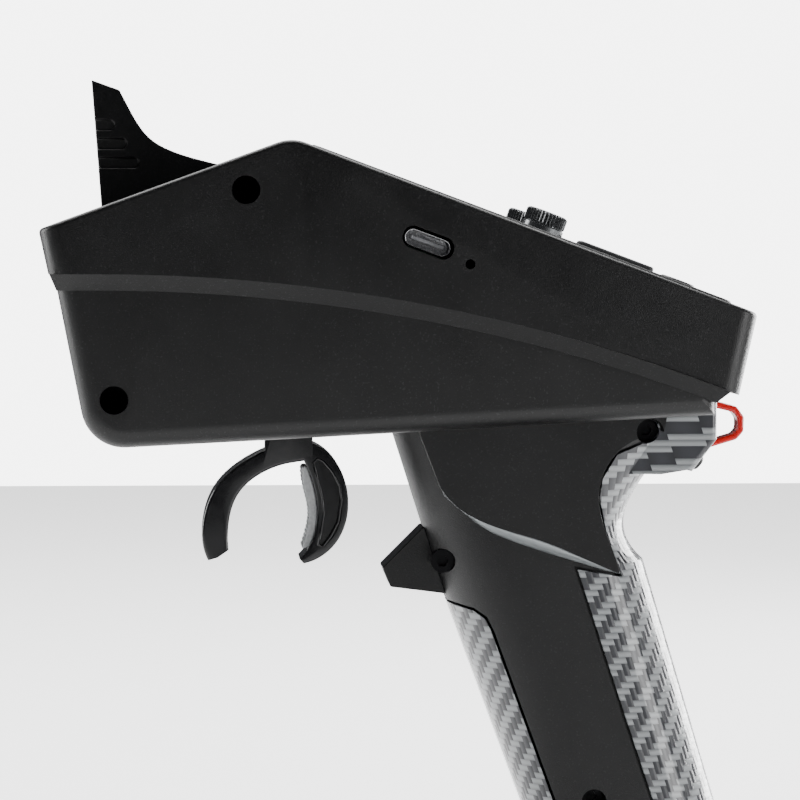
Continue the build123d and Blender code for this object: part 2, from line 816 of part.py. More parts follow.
with BuildPart() as steering_spring:
    add(ring(wheel_x, wheel_z, 8.2, 6.2, 21.0, 30.0))
    for seat, side in ((21.0, -1), (29.0, 1)):
        with BuildSketch(Plane.XZ.offset(-seat)) as tang:
            with Locations((wheel_x + side * 8.4, wheel_z)):
                Rectangle(2.6, 1.0)
        extrude(tang.sketch, amount=-1.0)
save(steering_spring.part, "steering_spring")

steering_shaft = post(wheel_x, wheel_z, shaft_radius, shaft_in, web_y + web_thick + 4.0)
save(steering_shaft, "steering_shaft")
with BuildPart() as steering_magnet:
    add(post(wheel_x, wheel_z, magnet_radius, shaft_in - 2.5, shaft_in))
save(steering_magnet.part, "steering_magnet")
with BuildPart() as steering_sensor:
    with BuildSketch(Plane.XZ.offset(-shaft_in + 6.6)) as sensor_board:
        with Locations((wheel_x, wheel_z)):
            RectangleRounded(20, 15, 1.0)
    extrude(sensor_board.sketch, amount=-1.2)
    with BuildSketch(Plane.XZ.offset(-shaft_in + 5.4)) as sensor_chip:
        with Locations((wheel_x, wheel_z)):
            Rectangle(5, 5)
    extrude(sensor_chip.sketch, amount=-1.1)
save(steering_sensor.part, "steering_sensor")
with BuildPart() as sensor_posts:
    for side in (-1, 1):
        add(post(wheel_x + side * 8.0, wheel_z + 5.0, 1.4, shaft_in - 5.4, inner_bearing_y - 1.5))
save(sensor_posts.part, "sensor_posts")

with BuildPart() as wheel_rim:
    add(ring(wheel_x, wheel_z, rim_radius, rim_radius - rim_thick, wheel_in, wheel_out))
    for y in (wheel_in, wheel_out - 1.2):
        add(ring(wheel_x, wheel_z, rim_radius + 1.6, rim_radius - rim_thick, y, y + 1.2))
    add(ring(wheel_x, wheel_z, rim_radius - 1.0, shaft_radius + 2.0, web_y, web_y + web_thick))
    with BuildSketch(Plane.XZ.offset(-web_y + 1)) as windows:
        with Locations((wheel_x, wheel_z)):
            with PolarLocations(14.0, 6):
                Circle(4.4)
    extrude(windows.sketch, amount=-(web_thick + 2), mode=Mode.SUBTRACT)
    add(ring(wheel_x, wheel_z, hub_radius, shaft_radius, web_y - 4.0, web_y + web_thick + 4.0))
save(wheel_rim.part, "wheel_rim")

with BuildPart() as wheel_grip:
    add(ring(wheel_x, wheel_z, wheel_radius, rim_radius, wheel_in + 1.2, wheel_out - 1.2))
    fillet(wheel_grip.edges().filter_by(lambda e: e.length > 2 * 3.14 * (wheel_radius - 1)), 1.6)
save(wheel_grip.part, "wheel_grip")

nut_y = web_y + web_thick + 4.0
with BuildPart() as wheel_nut:
    with BuildSketch(Plane.XZ.offset(-nut_y)) as nut_plate:
        with Locations((wheel_x, wheel_z)):
            RegularPolygon(5.0, 6)
    extrude(nut_plate.sketch, amount=-4.0)
    chamfer(wheel_nut.faces().sort_by(Axis.Y)[-1].edges(), 0.6)
save(wheel_nut.part, "wheel_nut")

# ---------------------------------------------------------------- trigger
def blend_outline(*runs):
    """A face bounded by runs of (x, z) points: two make a straight edge, more a smooth curve."""
    with BuildSketch(Plane.XZ) as outline:
        with BuildLine():
            for run in runs:
                if len(run) == 2:
                    Line(*run)
                else:
                    Spline(*run)
        make_face()
    return outline.sketch


brake_face = blend_outline(
    [(-61.9, 111.4), (-61.9, 110.2)],
    [(-61.9, 110.2), (-66.6, 107.7), (-71.4, 103.2), (-73.8, 97.0), (-73.7, 91.3), (-72.9, 89.2)],
    [(-72.9, 89.2), (-71.1, 89.7)],
    [(-71.1, 89.7), (-68.9, 91.2)],
    [(-68.9, 91.2), (-68.9, 96.2), (-67.1, 101.8), (-62.6, 105.8), (-56.6, 107.8)],
    [(-56.6, 107.8), (-52.9, 108.4)],
    [(-52.9, 108.4), (-52.9, 111.4)],
    [(-52.9, 111.4), (-61.9, 111.4)],
)
throttle_face = blend_outline(
    [(-55.4, 111.4), (-52.6, 111.4)],
    [
        (-52.6, 111.4), (-48.6, 108.2), (-46.2, 102.0), (-46.5, 96.5),
        (-48.6, 92.2), (-52.4, 89.2), (-54.6, 88.5),
    ],
    [(-54.6, 88.5), (-55.4, 89.4)],
    [(-55.4, 89.4), (-52.9, 93.0), (-52.0, 98.0), (-52.9, 104.0), (-55.4, 109.6)],
    [(-55.4, 109.6), (-55.4, 111.4)],
)
pocket_face = blend_outline(
    [(-52.0, 108.6), (-50.3, 98.7), (-51.8, 92.4)],
    [(-51.8, 92.4), (-50.9, 91.7)],
    [(-50.9, 91.7), (-47.5, 97.0), (-48.0, 103.5), (-50.9, 108.4)],
    [(-50.9, 108.4), (-52.0, 108.6)],
)
pad_face = blend_outline(
    [(-52.6, 107.4), (-54.9, 107.0)],
    [(-54.9, 107.0), (-54.6, 103.5), (-53.5, 98.0), (-54.1, 94.0), (-55.0, 91.2)],
    [(-55.0, 91.2), (-51.5, 92.4)],
    [(-51.5, 92.4), (-49.5, 98.0), (-52.6, 107.4)],
)
pocket_depth = 1.0
with BuildPart() as trigger_yoke:
    extrude(brake_face, amount=trigger_half_width, both=True)
    rounded = trigger_yoke.edges().filter_by(lambda e: abs(e.center().Y) > trigger_half_width - 0.01)
    fillet(rounded.filter_by(lambda e: e.length > 15), 0.6)
    with BuildSketch(Plane.XZ) as trigger_block:
        with BuildLine():
            Polyline((-61.9, 111.0), (-52.9, 111.0), (-52.9, pivot_z), (-61.9, pivot_z), close=True)
        make_face()
        with Locations((pivot_x, pivot_z)):
            Circle(4.6)
    extrude(trigger_block.sketch, amount=trigger_half_width, both=True)
    add(post(pivot_x, pivot_z, pin_radius, -far, far), mode=Mode.SUBTRACT)
with BuildPart() as throttle_arm:
    extrude(throttle_face, amount=trigger_half_width, both=True)
    rounded = throttle_arm.edges().filter_by(lambda e: abs(e.center().Y) > trigger_half_width - 0.01)
    fillet(rounded.filter_by(lambda e: e.length > 15), 0.4)
    for side in (-1, 1):
        skin = trigger_half_width - pocket_depth
        add(side_slab(pocket_face, *sorted((side * skin, side * (skin + 5)))), mode=Mode.SUBTRACT)
    add(trigger_yoke.part, mode=Mode.SUBTRACT)
with BuildPart() as trigger_pad:
    extrude(pad_face, amount=trigger_half_width - 1.2, both=True)
    add(throttle_arm.part, mode=Mode.SUBTRACT)
save(trigger_yoke.part, "trigger_yoke")
save(throttle_arm.part, "throttle_arm")
save(ShapeList(trigger_pad.part.solids()).sort_by(Axis.X)[0], "trigger_pad")

pin_reach = trigger_half_width + 5.0
trigger_pin = post(pivot_x, pivot_z, pin_radius, -pin_reach, pin_reach)
save(trigger_pin, "trigger_pin")
floor_wall = wall / cos(radians(floor_rise)) + 0.01
cheek_in = trigger_half_width + 0.8
cheek_out = cheek_in + 3.0
with BuildPart() as trigger_frame:
    with BuildSketch(Plane.XZ) as cheek:
        with BuildLine():
            Polyline(
                (pivot_x - 8, floor_at(pivot_x - 8) + floor_wall),
                (pivot_x + 8, floor_at(pivot_x + 8) + floor_wall),
                (pivot_x + 8, pivot_z + 9),
                (pivot_x - 8, pivot_z + 9),
                close=True,
            )
        make_face()
    extrude(cheek.sketch, amount=cheek_out, both=True)
    with BuildSketch(Plane.XZ) as cheek_gap:
        with Locations((pivot_x, pivot_z - 3)):
            Rectangle(40, 19)
    extrude(cheek_gap.sketch, amount=cheek_in, both=True, mode=Mode.SUBTRACT)
    add(post(pivot_x, pivot_z, pin_radius + running_gap, -far, far), mode=Mode.SUBTRACT)
save(trigger_frame.part, "trigger_frame")
with BuildPart() as trigger_spring:
    add(ring(pivot_x, pivot_z, 2.2, 1.7, cheek_out + 0.2, cheek_out + 1.2))
save(trigger_spring.part, "trigger_spring")

# ---------------------------------------------------------------- grip
web_z = 89.1
web_rear_x = 10.6
front_knee_x = -27.4
front_knee_z = 82.1
front_rake = 20.3
neck_rake = 17.7
rear_rake = 16.7
grip_round = grip_half_width - 3.5
grip_wall = 2.4
lower_stations = [foot_height - 1.0, front_knee_z, web_z]
upper_stations = [web_z, 98.3, 106.0, 119.0]
neck_rears = {98.3: 7.2, 106.0: 11.5, 119.0: 18.0}
neck_narrowing = {98.3: 0.3, 106.0: 0.6, 119.0: 1.0}


def grip_front(z):
    rake = front_rake if z < front_knee_z else neck_rake
    return front_knee_x + (front_knee_z - z) * tan(radians(rake))


def grip_rear(z):
    return neck_rears.get(z, web_rear_x + (web_z - z) * tan(radians(rear_rake)))


def grip_section(z, inset, level=None):
    """The oval grip's level section for station z, inset all round."""
    front = grip_front(z) + inset / cos(radians(front_rake))
    rear = grip_rear(z) - inset / cos(radians(rear_rake))
    half_width = grip_half_width - neck_narrowing.get(z, 0.0) - inset
    with BuildSketch(Plane.XY.offset(z if level is None else level)) as section:
        with Locations(((front + rear) / 2, 0)):
            RectangleRounded(rear - front, 2 * half_width, grip_round - inset)
    return section.sketch


def grip_form(inset, high=None):
    """The oval grip: straight and tapering below the web, waisted above it, inset all round."""
    lower = [grip_section(z, inset) for z in lower_stations]
    upper = [grip_section(z, inset) for z in upper_stations[:-1]]
    upper.append(grip_section(upper_stations[-1], inset, high))
    with BuildPart() as form:
        loft(lower, ruled=True)
        loft(upper)
    return form.part


def above_floor():
    """Everything above the head's underside."""
    with BuildPart() as block:
        with BuildSketch(Plane.XZ) as wedge:
            with BuildLine():
                Polyline(
                    (-far, floor_at(-far)),
                    (far, floor_at(far)),
                    (far, 2 * far),
                    (-far, 2 * far),
                    close=True,
                )
            make_face()
        extrude(wedge.sketch, amount=far, both=True)
    return block.part


over_head = above_floor()
plate_face = blend_outline(
    [(-33.1, 120.0), (-33.1, 113.8)],
    [(-33.1, 113.8), (-29.3, 103.8)],
    [(-29.3, 103.8), (-22.6, 97.9), (-16.3, 95.5), (-9.4, 93.4), (-1.5, 90.0), (4.6, 87.4)],
    [(4.6, 87.4), (2.2, 94.5), (0.6, 101.5), (1.1, 105.4), (4.0, 110.2), (12.8, 113.6)],
    [(12.8, 113.6), (14.0, 120.0)],
    [(14.0, 120.0), (-33.1, 120.0)],
)
# Rear inlay, behind a raked line on each side, and the tail block at the head's rear edge
rear_inlay_face = side_outline(
    [
        (13.4, 119.0),
        (12.8, 113.6),
        (4.0, 110.2),
        (1.1, 105.4),
        (0.6, 101.5),
        (2.2, 94.5),
        (4.7, 87.2),
        (-4.0, 88.8),
        (5.4, 60.0),
        (18.8, foot_height),
        (48.0, foot_height),
        (48.0, 119.0),
    ]
)
front_inlay_face = side_outline(
    [
        (-45.0, 81.4),
        (-26.4, 81.4),
        (-22.6, 80.6),
        (-20.2, 79.0),
        (-18.8, 76.2),
        (1.6, foot_height),
        (-45.0, foot_height),
    ]
)
tail_half_width = 13.0
slant_x = 19.1
slant_z = 106.3
slant_top_z = 112.4
tail_rear_x = lower_rear_x + 2.7
tail_top_z = seam_at(lower_rear_x) - band_height - 0.2
with BuildPart() as tail_block:
    with BuildSketch(Plane.XZ) as tail_face:
        with BuildLine():
            Polyline(
                (2.0, 106.0),
                (13.1, 105.8),
                (18.0, 106.6),
                (slant_x, slant_z),
                (tail_rear_x, slant_top_z),
                (tail_rear_x, tail_top_z),
                (lower_rear_x, tail_top_z),
                (lower_rear_x, floor_at(lower_rear_x)),
                (2.0, floor_at(2.0)),
                close=True,
            )
        make_face()
    extrude(tail_face.sketch, amount=tail_half_width, both=True)
    uprights = tail_block.edges().filter_by(lambda e: abs(e.tangent_at(0.5).Y) < 0.1 and e.center().X > 16)
    fillet(uprights.filter_by(lambda e: e.length > 4 and abs(e.tangent_at(0.5).X) < 0.7), 1.2)

inlay_core = grip_form(inlay_thick)
grip_core = grip_form(grip_wall + inlay_thick, high=112.5)
grip_solid = grip_form(0.0)
grip_screws = [(10.3, 114.1), (-28.4, 89.3), (0.0, 44.0)]
grip_seat_y = -9.0
grip_tip_y = 7.0


for side, name in ((-1, "neck_plate_left"), (1, "neck_plate_right")):
    slab = side_slab(plate_face, *sorted((side * (grip_half_width - 5), side * plate_half_width)))
    with BuildPart() as neck_plate:
        add(slab)
        add([grip_solid, over_head, tail_block.part], mode=Mode.SUBTRACT)
        if side < 0:
            for x, z in grip_screws:
                add(post(x, z, counterbore_radius, -far, 0), mode=Mode.SUBTRACT)
    save(neck_plate.part, name)

with BuildPart() as rear_seat:
    add(grip_solid)
    extrude(rear_inlay_face, amount=far, both=True, mode=Mode.INTERSECT)
    add(inlay_core, mode=Mode.SUBTRACT)
    add([over_head, tail_block.part], mode=Mode.SUBTRACT)
with BuildPart() as front_seat:
    add(grip_solid)
    extrude(front_inlay_face, amount=far, both=True, mode=Mode.INTERSECT)
    add(inlay_core, mode=Mode.SUBTRACT)

# Grip shells: bosses for the cross screws, a solid top flange, and grooves round the inlays
grip_bores = []
grip_bosses = []
for x, z in grip_screws:
    grip_bosses.append(post(x, z, boss_radius, -grip_half_width + 2, grip_half_width - 2))
    grip_bores.append(post(x, z, counterbore_radius - 0.25, -far, grip_seat_y))
    grip_bores.append(post(x, z, screw_radius + 0.05, grip_seat_y - 1, grip_tip_y + 1))

with BuildPart() as boss_bars:
    add(grip_bosses)
    add(inlay_core, mode=Mode.INTERSECT)
with BuildPart() as grip_bodywork:
    add(grip_solid)
    add(grip_core, mode=Mode.SUBTRACT)
    add(boss_bars.part)
    add([rear_seat.part, front_seat.part], mode=Mode.SUBTRACT)
    add(grip_bores, mode=Mode.SUBTRACT)
    add(over_head, mode=Mode.SUBTRACT)
    with BuildSketch(Plane.XY.offset(foot_height)) as sole:
        Rectangle(far, far)
    extrude(sole.sketch, amount=-far, mode=Mode.SUBTRACT)
    # The tail block's tongue keys into the neck, and the battery lead rises through it
    add(tail_block.part, mode=Mode.SUBTRACT)
    with BuildSketch(Plane.XY.offset(100)) as lead_hole:
        with Locations((wire_x, 0)):
            Circle(wire_hole_radius)
    extrude(lead_hole.sketch, amount=30, mode=Mode.SUBTRACT)
with BuildPart() as grip_left_shell:
    add(grip_bodywork.part)
    split(bisect_by=Plane.XZ, keep=Keep.TOP)
with BuildPart() as grip_right_shell:
    add(grip_bodywork.part)
    split(bisect_by=Plane.XZ, keep=Keep.BOTTOM)
save(grip_left_shell.part, "grip_left_shell")
save(grip_right_shell.part, "grip_right_shell")

# Front and rear inlays, a groove smaller than their seats, open to the screws that cross them
rear_inset = offset(rear_inlay_face, amount=-groove, kind=Kind.INTERSECTION)
front_inset = offset(front_inlay_face, amount=-groove, kind=Kind.INTERSECTION)
with BuildPart() as rear_inlay:
    add(rear_seat.part)
    extrude(rear_inset, amount=far, both=True, mode=Mode.INTERSECT)
    add(grip_bores, mode=Mode.SUBTRACT)
with BuildPart() as front_inlay:
    add(front_seat.part)
    extrude(front_inset, amount=far, both=True, mode=Mode.INTERSECT)
    add(grip_bores, mode=Mode.SUBTRACT)
save(rear_inlay.part, "rear_grip_inlay")
save(front_inlay.part, "front_grip_inlay")

# Finger spur under the trigger finger
with BuildPart() as finger_spur:
    with BuildSketch(Plane.XZ) as spur_face:
        with BuildLine():
            Polyline(
                (-24.0, 96.0), (-31.9, 95.2), (-39.5, 87.6),
                (-39.0, 86.3), (-38.0, 83.9), (-20.0, 81.6), close=True,
            )
        make_face()
    extrude(spur_face.sketch, amount=spur_half_width, both=True)
    tip_edges = finger_spur.edges().filter_by(Axis.Y).filter_by(lambda e: e.center().X < -37)
    fillet(tip_edges, 0.5)
    add(grip_solid, mode=Mode.SUBTRACT)
    add(grip_bores, mode=Mode.SUBTRACT)
save(finger_spur.part, "finger_spur")

# Lanyard loop: a flat strip bent through facets, its legs keyed into the tail block
loop_half_width = 2.75
loop_thick = 1.25
loop_outer = [(25.6, 119.1), (29.0, 118.2), (30.5, 116.2), (30.4, 113.4), (29.0, 111.8), (23.9, 110.3)]
leg_depth = 3.4
with BuildPart() as lanyard_loop:
    with BuildSketch(Plane.XZ) as loop_face:
        with BuildLine():
            Polyline(
                (25.6 - leg_depth, 119.6),
                *loop_outer,
                (21.6, 110.1),
                (21.3, 111.2),
                (23.6, 111.5),
                (28.4, 112.9),
                (29.2, 113.9),
                (29.2, 115.8),
                (28.3, 117.1),
                (25.3, 117.8),
                (25.6 - leg_depth - 0.3, 118.3),
                close=True,
            )
        make_face()
    extrude(loop_face.sketch, amount=loop_half_width, both=True)
save(lanyard_loop.part, "lanyard_loop")

# Thumb button on the tail's slanted face
thumb_centre = (20.5, 0, 108.1)
slant_length = hypot(tail_rear_x - slant_x, slant_top_z - slant_z)
slant_normal = ((slant_top_z - slant_z) / slant_length, 0, -(tail_rear_x - slant_x) / slant_length)
thumb_plane = Plane(origin=thumb_centre, x_dir=(0, 1, 0), z_dir=slant_normal)
thumb_length = 8.0
thumb_width = 3.4
thumb_proud = 1.9
thumb_travel = 0.8
thumb_depth = 2.4
with BuildPart() as thumb_button:
    with BuildSketch(thumb_plane.offset(-thumb_depth + thumb_travel)) as thumb_outline:
        SlotOverall(thumb_length, thumb_width)
    extrude(thumb_outline.sketch, amount=thumb_depth - thumb_travel + thumb_proud)
    outer_rim = thumb_button.faces().sort_by(Axis((0, 0, 0), slant_normal))[-1].edges()
    fillet(outer_rim, 1.1)
save(thumb_button.part, "thumb_button")
with BuildPart() as thumb_well:
    with BuildSketch(thumb_plane.offset(-thumb_depth - 2)) as well_outline:
        SlotOverall(thumb_length + 2 * key_gap, thumb_width + 2 * key_gap)
    extrude(well_outline.sketch, amount=thumb_depth + 12)
with BuildPart() as thumb_switch:
    with BuildSketch(thumb_plane.offset(-thumb_depth - 2)) as switch_outline:
        SlotOverall(thumb_length - 1.5, thumb_width - 0.6)
    extrude(switch_outline.sketch, amount=1.9)
save(thumb_switch.part, "thumb_switch")

with BuildPart() as tail:
    add(tail_block.part)
    add([thumb_well.part, lanyard_loop.part], mode=Mode.SUBTRACT)
    add(grip_bores, mode=Mode.SUBTRACT)
save(tail.part, "tail_block")


def cross_screw(x, z, seat_y, tip_y):
    """A socket cap screw along Y, its head towards the left."""
    with BuildPart() as screw:
        add(post(x, z, screw_head_radius, seat_y - screw_head_height, seat_y))
        add(post(x, z, screw_radius, seat_y, tip_y))
        with BuildSketch(Plane.XZ.offset(-seat_y + screw_head_height)) as socket:
            with Locations((x, z)):
                RegularPolygon(1.15, 6)
        extrude(socket.sketch, amount=-1.0, mode=Mode.SUBTRACT)
    return screw.part


with BuildPart() as case_screws:
    add([cross_screw(x, z, screw_seat_y, screw_tip_y) for x, z in head_screws])
save(case_screws.part, "case_screws")
with BuildPart() as grip_screw_set:
    add([cross_screw(x, z, grip_seat_y, grip_tip_y) for x, z in grip_screws])
save(grip_screw_set.part, "grip_screws")

# ---------------------------------------------------------------- foot and battery
foot_base = pad_height
bay_front = -foot_length / 2 + 5.0
bay_rear = bay_front + bay_length
rail = 2.2
cover_low = foot_base + 1.2
slot_top = cover_low + cover_thick + 2 * cover_gap
bay_top = foot_height - 2.6
with BuildPart() as foot_shell:
    with BuildSketch(Plane.XY.offset(foot_base)) as foot_plan:
        RectangleRounded(foot_length, foot_width, foot_corner)
    extrude(foot_plan.sketch, amount=foot_height - foot_base)
    chamfer(foot_shell.faces().sort_by(Axis.Z)[-1].edges(), foot_shoulder)
    chamfer(foot_shell.faces().sort_by(Axis.Z)[0].edges(), 1.0)
    # Battery bay, open below between the rails
    with BuildSketch(Plane.XY.offset(cover_low)) as bay:
        with Locations(((bay_front + bay_rear) / 2, 0)):
            Rectangle(bay_length, bay_width)
    extrude(bay.sketch, amount=bay_top - cover_low, mode=Mode.SUBTRACT)
    with BuildSketch(Plane.XY) as mouth:
        with Locations(((bay_front + bay_rear) / 2 - far / 2, 0)):
            Rectangle(bay_length + far, bay_width - 2 * rail)
    extrude(mouth.sketch, amount=cover_low, mode=Mode.SUBTRACT)
    with BuildSketch(Plane.XY.offset(cover_low)) as runway:
        with Locations(((bay_front + bay_rear) / 2 - far / 2, 0)):
            Rectangle(bay_length + far, bay_width + 2 * rail)
    extrude(runway.sketch, amount=slot_top - cover_low, mode=Mode.SUBTRACT)
    # Wire passage up into the grip
    with BuildSketch(Plane.XY) as passage:
        with Locations((12.0, 0)):
            RectangleRounded(14, 12, 3)
    extrude(passage.sketch, amount=2 * foot_height, mode=Mode.SUBTRACT)
save(foot_shell.part, "foot_shell")

with BuildPart() as battery_cover:
    with BuildSketch(Plane.XY.offset(cover_low + cover_gap)) as cover_plan:
        with Locations(((-foot_length / 2 + 0.6 + bay_rear - cover_gap) / 2, 0)):
            Rectangle(bay_rear - cover_gap + foot_length / 2 - 0.6, bay_width + 2 * (rail - cover_gap))
    extrude(cover_plan.sketch, amount=cover_thick)
    with BuildSketch(Plane.XY.offset(foot_base + 0.1)) as cover_face:
        with Locations(((-foot_length / 2 + 1.6 + bay_rear - cover_gap) / 2, 0)):
            Rectangle(bay_rear - cover_gap + foot_length / 2 - 1.6, bay_width - 2 * (rail + cover_gap))
    extrude(cover_face.sketch, amount=cover_low + cover_gap - foot_base - 0.1)
    # Thumb grooves for sliding it off
    with BuildSketch(Plane.XY.offset(foot_base)) as thumb_grooves:
        with Locations((-foot_length / 2 + 12.0, 0)):
            with GridLocations(2.4, 1, 4, 1):
                SlotOverall(18, 1.2, rotation=90)
    extrude(thumb_grooves.sketch, amount=0.7, mode=Mode.SUBTRACT)
save(battery_cover.part, "battery_cover")

battery_height = 12.0
with BuildPart() as battery:
    with BuildSketch(Plane.XY.offset(slot_top + 0.2)) as pack:
        with Locations(((bay_front + bay_rear) / 2, 0)):
            RectangleRounded(bay_length - 4, bay_width - 6, 3)
    extrude(pack.sketch, amount=battery_height)
    fillet(battery.faces().filter_by(Axis.Z).edges(), 1.0)
save(battery.part, "battery")

with BuildPart() as foot_pads:
    with BuildSketch(Plane.XY) as pad_discs:
        with GridLocations(foot_length - 2 * foot_corner, foot_width - 12.0 + 2.0, 2, 2):
            SlotOverall(2 * pad_radius + 4, 5.2)
    extrude(pad_discs.sketch, amount=pad_height)
save(foot_pads.part, "foot_pads")

# A longer pad on the battery cover, in the middle of the foot
with BuildPart() as cover_pad:
    with BuildSketch(Plane.XY) as pad_strip:
        SlotOverall(cover_pad_length, cover_pad_width)
    extrude(pad_strip.sketch, amount=foot_base + 0.1)
save(cover_pad.part, "cover_pad")

# Battery lead, held inside the grip from the foot up to the main board
battery_route = [
    (12.0, 0.0, 17.1),
    (12.2, 0.0, 27.0),
    (9.0, 0.5, 40.0),
    (3.5, 1.5, 56.0),
    (-4.0, 2.5, 73.0),
    (-11.0, 2.0, 91.0),
    (-14.8, 0.5, 108.0),
    (wire_x - 0.2, 0.0, 124.0),
    (wire_x, 0.0, 138.4),
]
with BuildPart() as battery_lead:
    with BuildLine() as lead_route:
        FilletPolyline(*battery_route, radius=[16.0, 40.0, 50.0, 60.0, 50.0, 35.0, 60.0])
    with BuildSketch(Plane(origin=lead_route.line @ 0, z_dir=lead_route.line % 0)) as lead_section:
        Circle(1.6)
    sweep(sections=lead_section.sketch, path=lead_route.line)
save(battery_lead.part, "battery_lead")
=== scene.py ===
import json
import math

import bmesh
import bpy
from mathutils import Matrix, Vector
from mathutils.bvhtree import BVHTree


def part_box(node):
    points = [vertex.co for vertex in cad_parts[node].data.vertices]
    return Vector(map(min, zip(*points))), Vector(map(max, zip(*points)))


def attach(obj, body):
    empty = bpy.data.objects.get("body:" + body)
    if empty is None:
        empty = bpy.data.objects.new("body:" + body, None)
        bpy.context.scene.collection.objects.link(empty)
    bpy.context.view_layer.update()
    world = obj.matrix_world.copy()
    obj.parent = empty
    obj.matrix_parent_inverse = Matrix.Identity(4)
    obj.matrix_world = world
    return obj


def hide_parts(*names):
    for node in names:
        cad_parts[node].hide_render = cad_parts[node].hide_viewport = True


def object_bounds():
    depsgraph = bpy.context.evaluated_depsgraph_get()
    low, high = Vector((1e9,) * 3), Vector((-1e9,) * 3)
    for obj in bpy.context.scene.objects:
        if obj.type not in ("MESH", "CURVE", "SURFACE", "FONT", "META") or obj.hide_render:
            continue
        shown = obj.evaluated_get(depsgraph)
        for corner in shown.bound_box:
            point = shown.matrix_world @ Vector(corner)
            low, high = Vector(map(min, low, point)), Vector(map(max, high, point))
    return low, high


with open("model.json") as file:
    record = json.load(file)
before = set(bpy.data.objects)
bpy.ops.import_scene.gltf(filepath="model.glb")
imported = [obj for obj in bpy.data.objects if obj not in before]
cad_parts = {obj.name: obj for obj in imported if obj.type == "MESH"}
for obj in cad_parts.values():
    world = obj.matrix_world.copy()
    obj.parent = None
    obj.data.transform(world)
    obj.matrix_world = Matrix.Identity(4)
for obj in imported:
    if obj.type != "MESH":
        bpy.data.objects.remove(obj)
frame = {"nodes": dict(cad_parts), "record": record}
cad_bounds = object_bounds()
nodes = frame["nodes"]
record = frame["record"]
body_of = {name: body for body, names in record["behaviour"]["bodies"].items() for name in names}
slot_of = {row["node"]: row["material_slot"] for row in record["subparts"]}
MM = 0.001


# ---- Camera and studio --------------------------------------------------------------------
# The view is square to the transmitter's left side, at the height of its wheel.  The floor is
# a plain pale sheet, and large soft lights stand behind the hand side, above and in front.
camera_place = Vector((-0.0746, -0.694, 0.1509))
camera_target = Vector((-0.0380, -0.038, 0.1212))
camera = bpy.data.objects.new("camera", bpy.data.cameras.new("camera"))
camera.data.lens = 162.6
camera.data.sensor_width = 36.0
camera.data.clip_start = 0.01
camera.location = camera_place
camera.rotation_euler = (camera_target - camera_place).to_track_quat("-Z", "Y").to_euler()
bpy.context.scene.collection.objects.link(camera)
bpy.context.scene.camera = camera


def linked(name, mesh):
    """An object for a finished mesh, at the origin, in the scene."""
    piece = bpy.data.objects.new(name, mesh)
    bpy.context.scene.collection.objects.link(piece)
    return piece


def from_bmesh(name, bm):
    """Closes a bmesh into an object of that name."""
    mesh = bpy.data.meshes.new(name)
    bm.to_mesh(mesh)
    bm.free()
    return linked(name, mesh)


def node(tree, kind, links=None, **values):
    """A shader node with its values and incoming links set by socket name or number."""
    made = tree.nodes.new("ShaderNode" + kind)
    for key, value in values.items():
        if hasattr(made, key):
            setattr(made, key, value)
        else:
            made.inputs[key.replace("_", " ")].default_value = value
    for socket, source in (links or {}).items():
        tree.links.new(source, made.inputs[socket])
    return made


def finish_of(name, colour, roughness, metallic=0.0, coat=0.0, coat_roughness=0.05):
    """A new material with its Principled shader's plain values set, as (material, tree, shader)."""
    material = bpy.data.materials.new(name)
    material.use_nodes = True
    tree = material.node_tree
    shader = tree.nodes["Principled BSDF"]
    shader.inputs["Base Color"].default_value = (*colour, 1)
    shader.inputs["Roughness"].default_value = roughness
    shader.inputs["Metallic"].default_value = metallic
    shader.inputs["Coat Weight"].default_value = coat
    shader.inputs["Coat Roughness"].default_value = coat_roughness
    material.diffuse_color = (*colour, 1)
    return material, tree, shader


def noise(tree, scale, detail=3.0, roughness=0.5):
    """A noise texture on the piece's own place, with scale in repeats a metre."""
    place = node(tree, "TexCoord").outputs["Object"]
    return node(
        tree, "TexNoise", {"Vector": place}, Scale=scale, Detail=detail, Roughness=roughness
    )


def spread(tree, source, low, high, start=0.3, stop=0.7):
    """Maps a texture's values from start..stop to low..high."""
    ramp = node(tree, "MapRange", {"Value": source})
    ramp.inputs["From Min"].default_value = start
    ramp.inputs["From Max"].default_value = stop
    ramp.inputs["To Min"].default_value = low
    ramp.inputs["To Max"].default_value = high
    return ramp.outputs["Result"]


def tint(tree, factor, dark, light):
    """A colour between two, by a factor from 0 to 1."""
    mix = node(tree, "Mix", data_type="RGBA")
    tree.links.new(factor, mix.inputs[0])
    mix.inputs[6].default_value = (*dark, 1)
    mix.inputs[7].default_value = (*light, 1)
    return mix.outputs[2]


def uneven_tint(tree, shader, pattern, dark, light):
    """Lets a piece's colour wander between two, following a noise texture."""
    colour = tint(tree, spread(tree, pattern.outputs[0], 0, 1), dark, light)
    tree.links.new(colour, shader.inputs["Base Color"])


floor_size = 3.0
floor_glow = 1.6
room_brightness = 6.0
room_fill = 0.07
floor_material, tree, shader = finish_of("pale_paper", (0.86, 0.86, 0.86), 0.85)
grain = noise(tree, 40, 4)
uneven_tint(tree, shader, grain, (0.85, 0.85, 0.85), (0.88, 0.88, 0.88))
ray = node(tree, "LightPath")
glow = node(tree, "Math", {0: ray.outputs["Is Camera Ray"]}, operation="MULTIPLY")
glow.inputs[1].default_value = floor_glow
shader.inputs["Emission Color"].default_value = (1, 1, 1, 1)
tree.links.new(glow.outputs[0], shader.inputs["Emission Strength"])
bm = bmesh.new()
bmesh.ops.create_grid(bm, x_segments=1, y_segments=1, size=floor_size / 2)
bmesh.ops.translate(bm, verts=bm.verts, vec=(0, 0, cad_bounds[0][2]))
floor = from_bmesh("floor", bm)
floor.data.materials.append(floor_material)

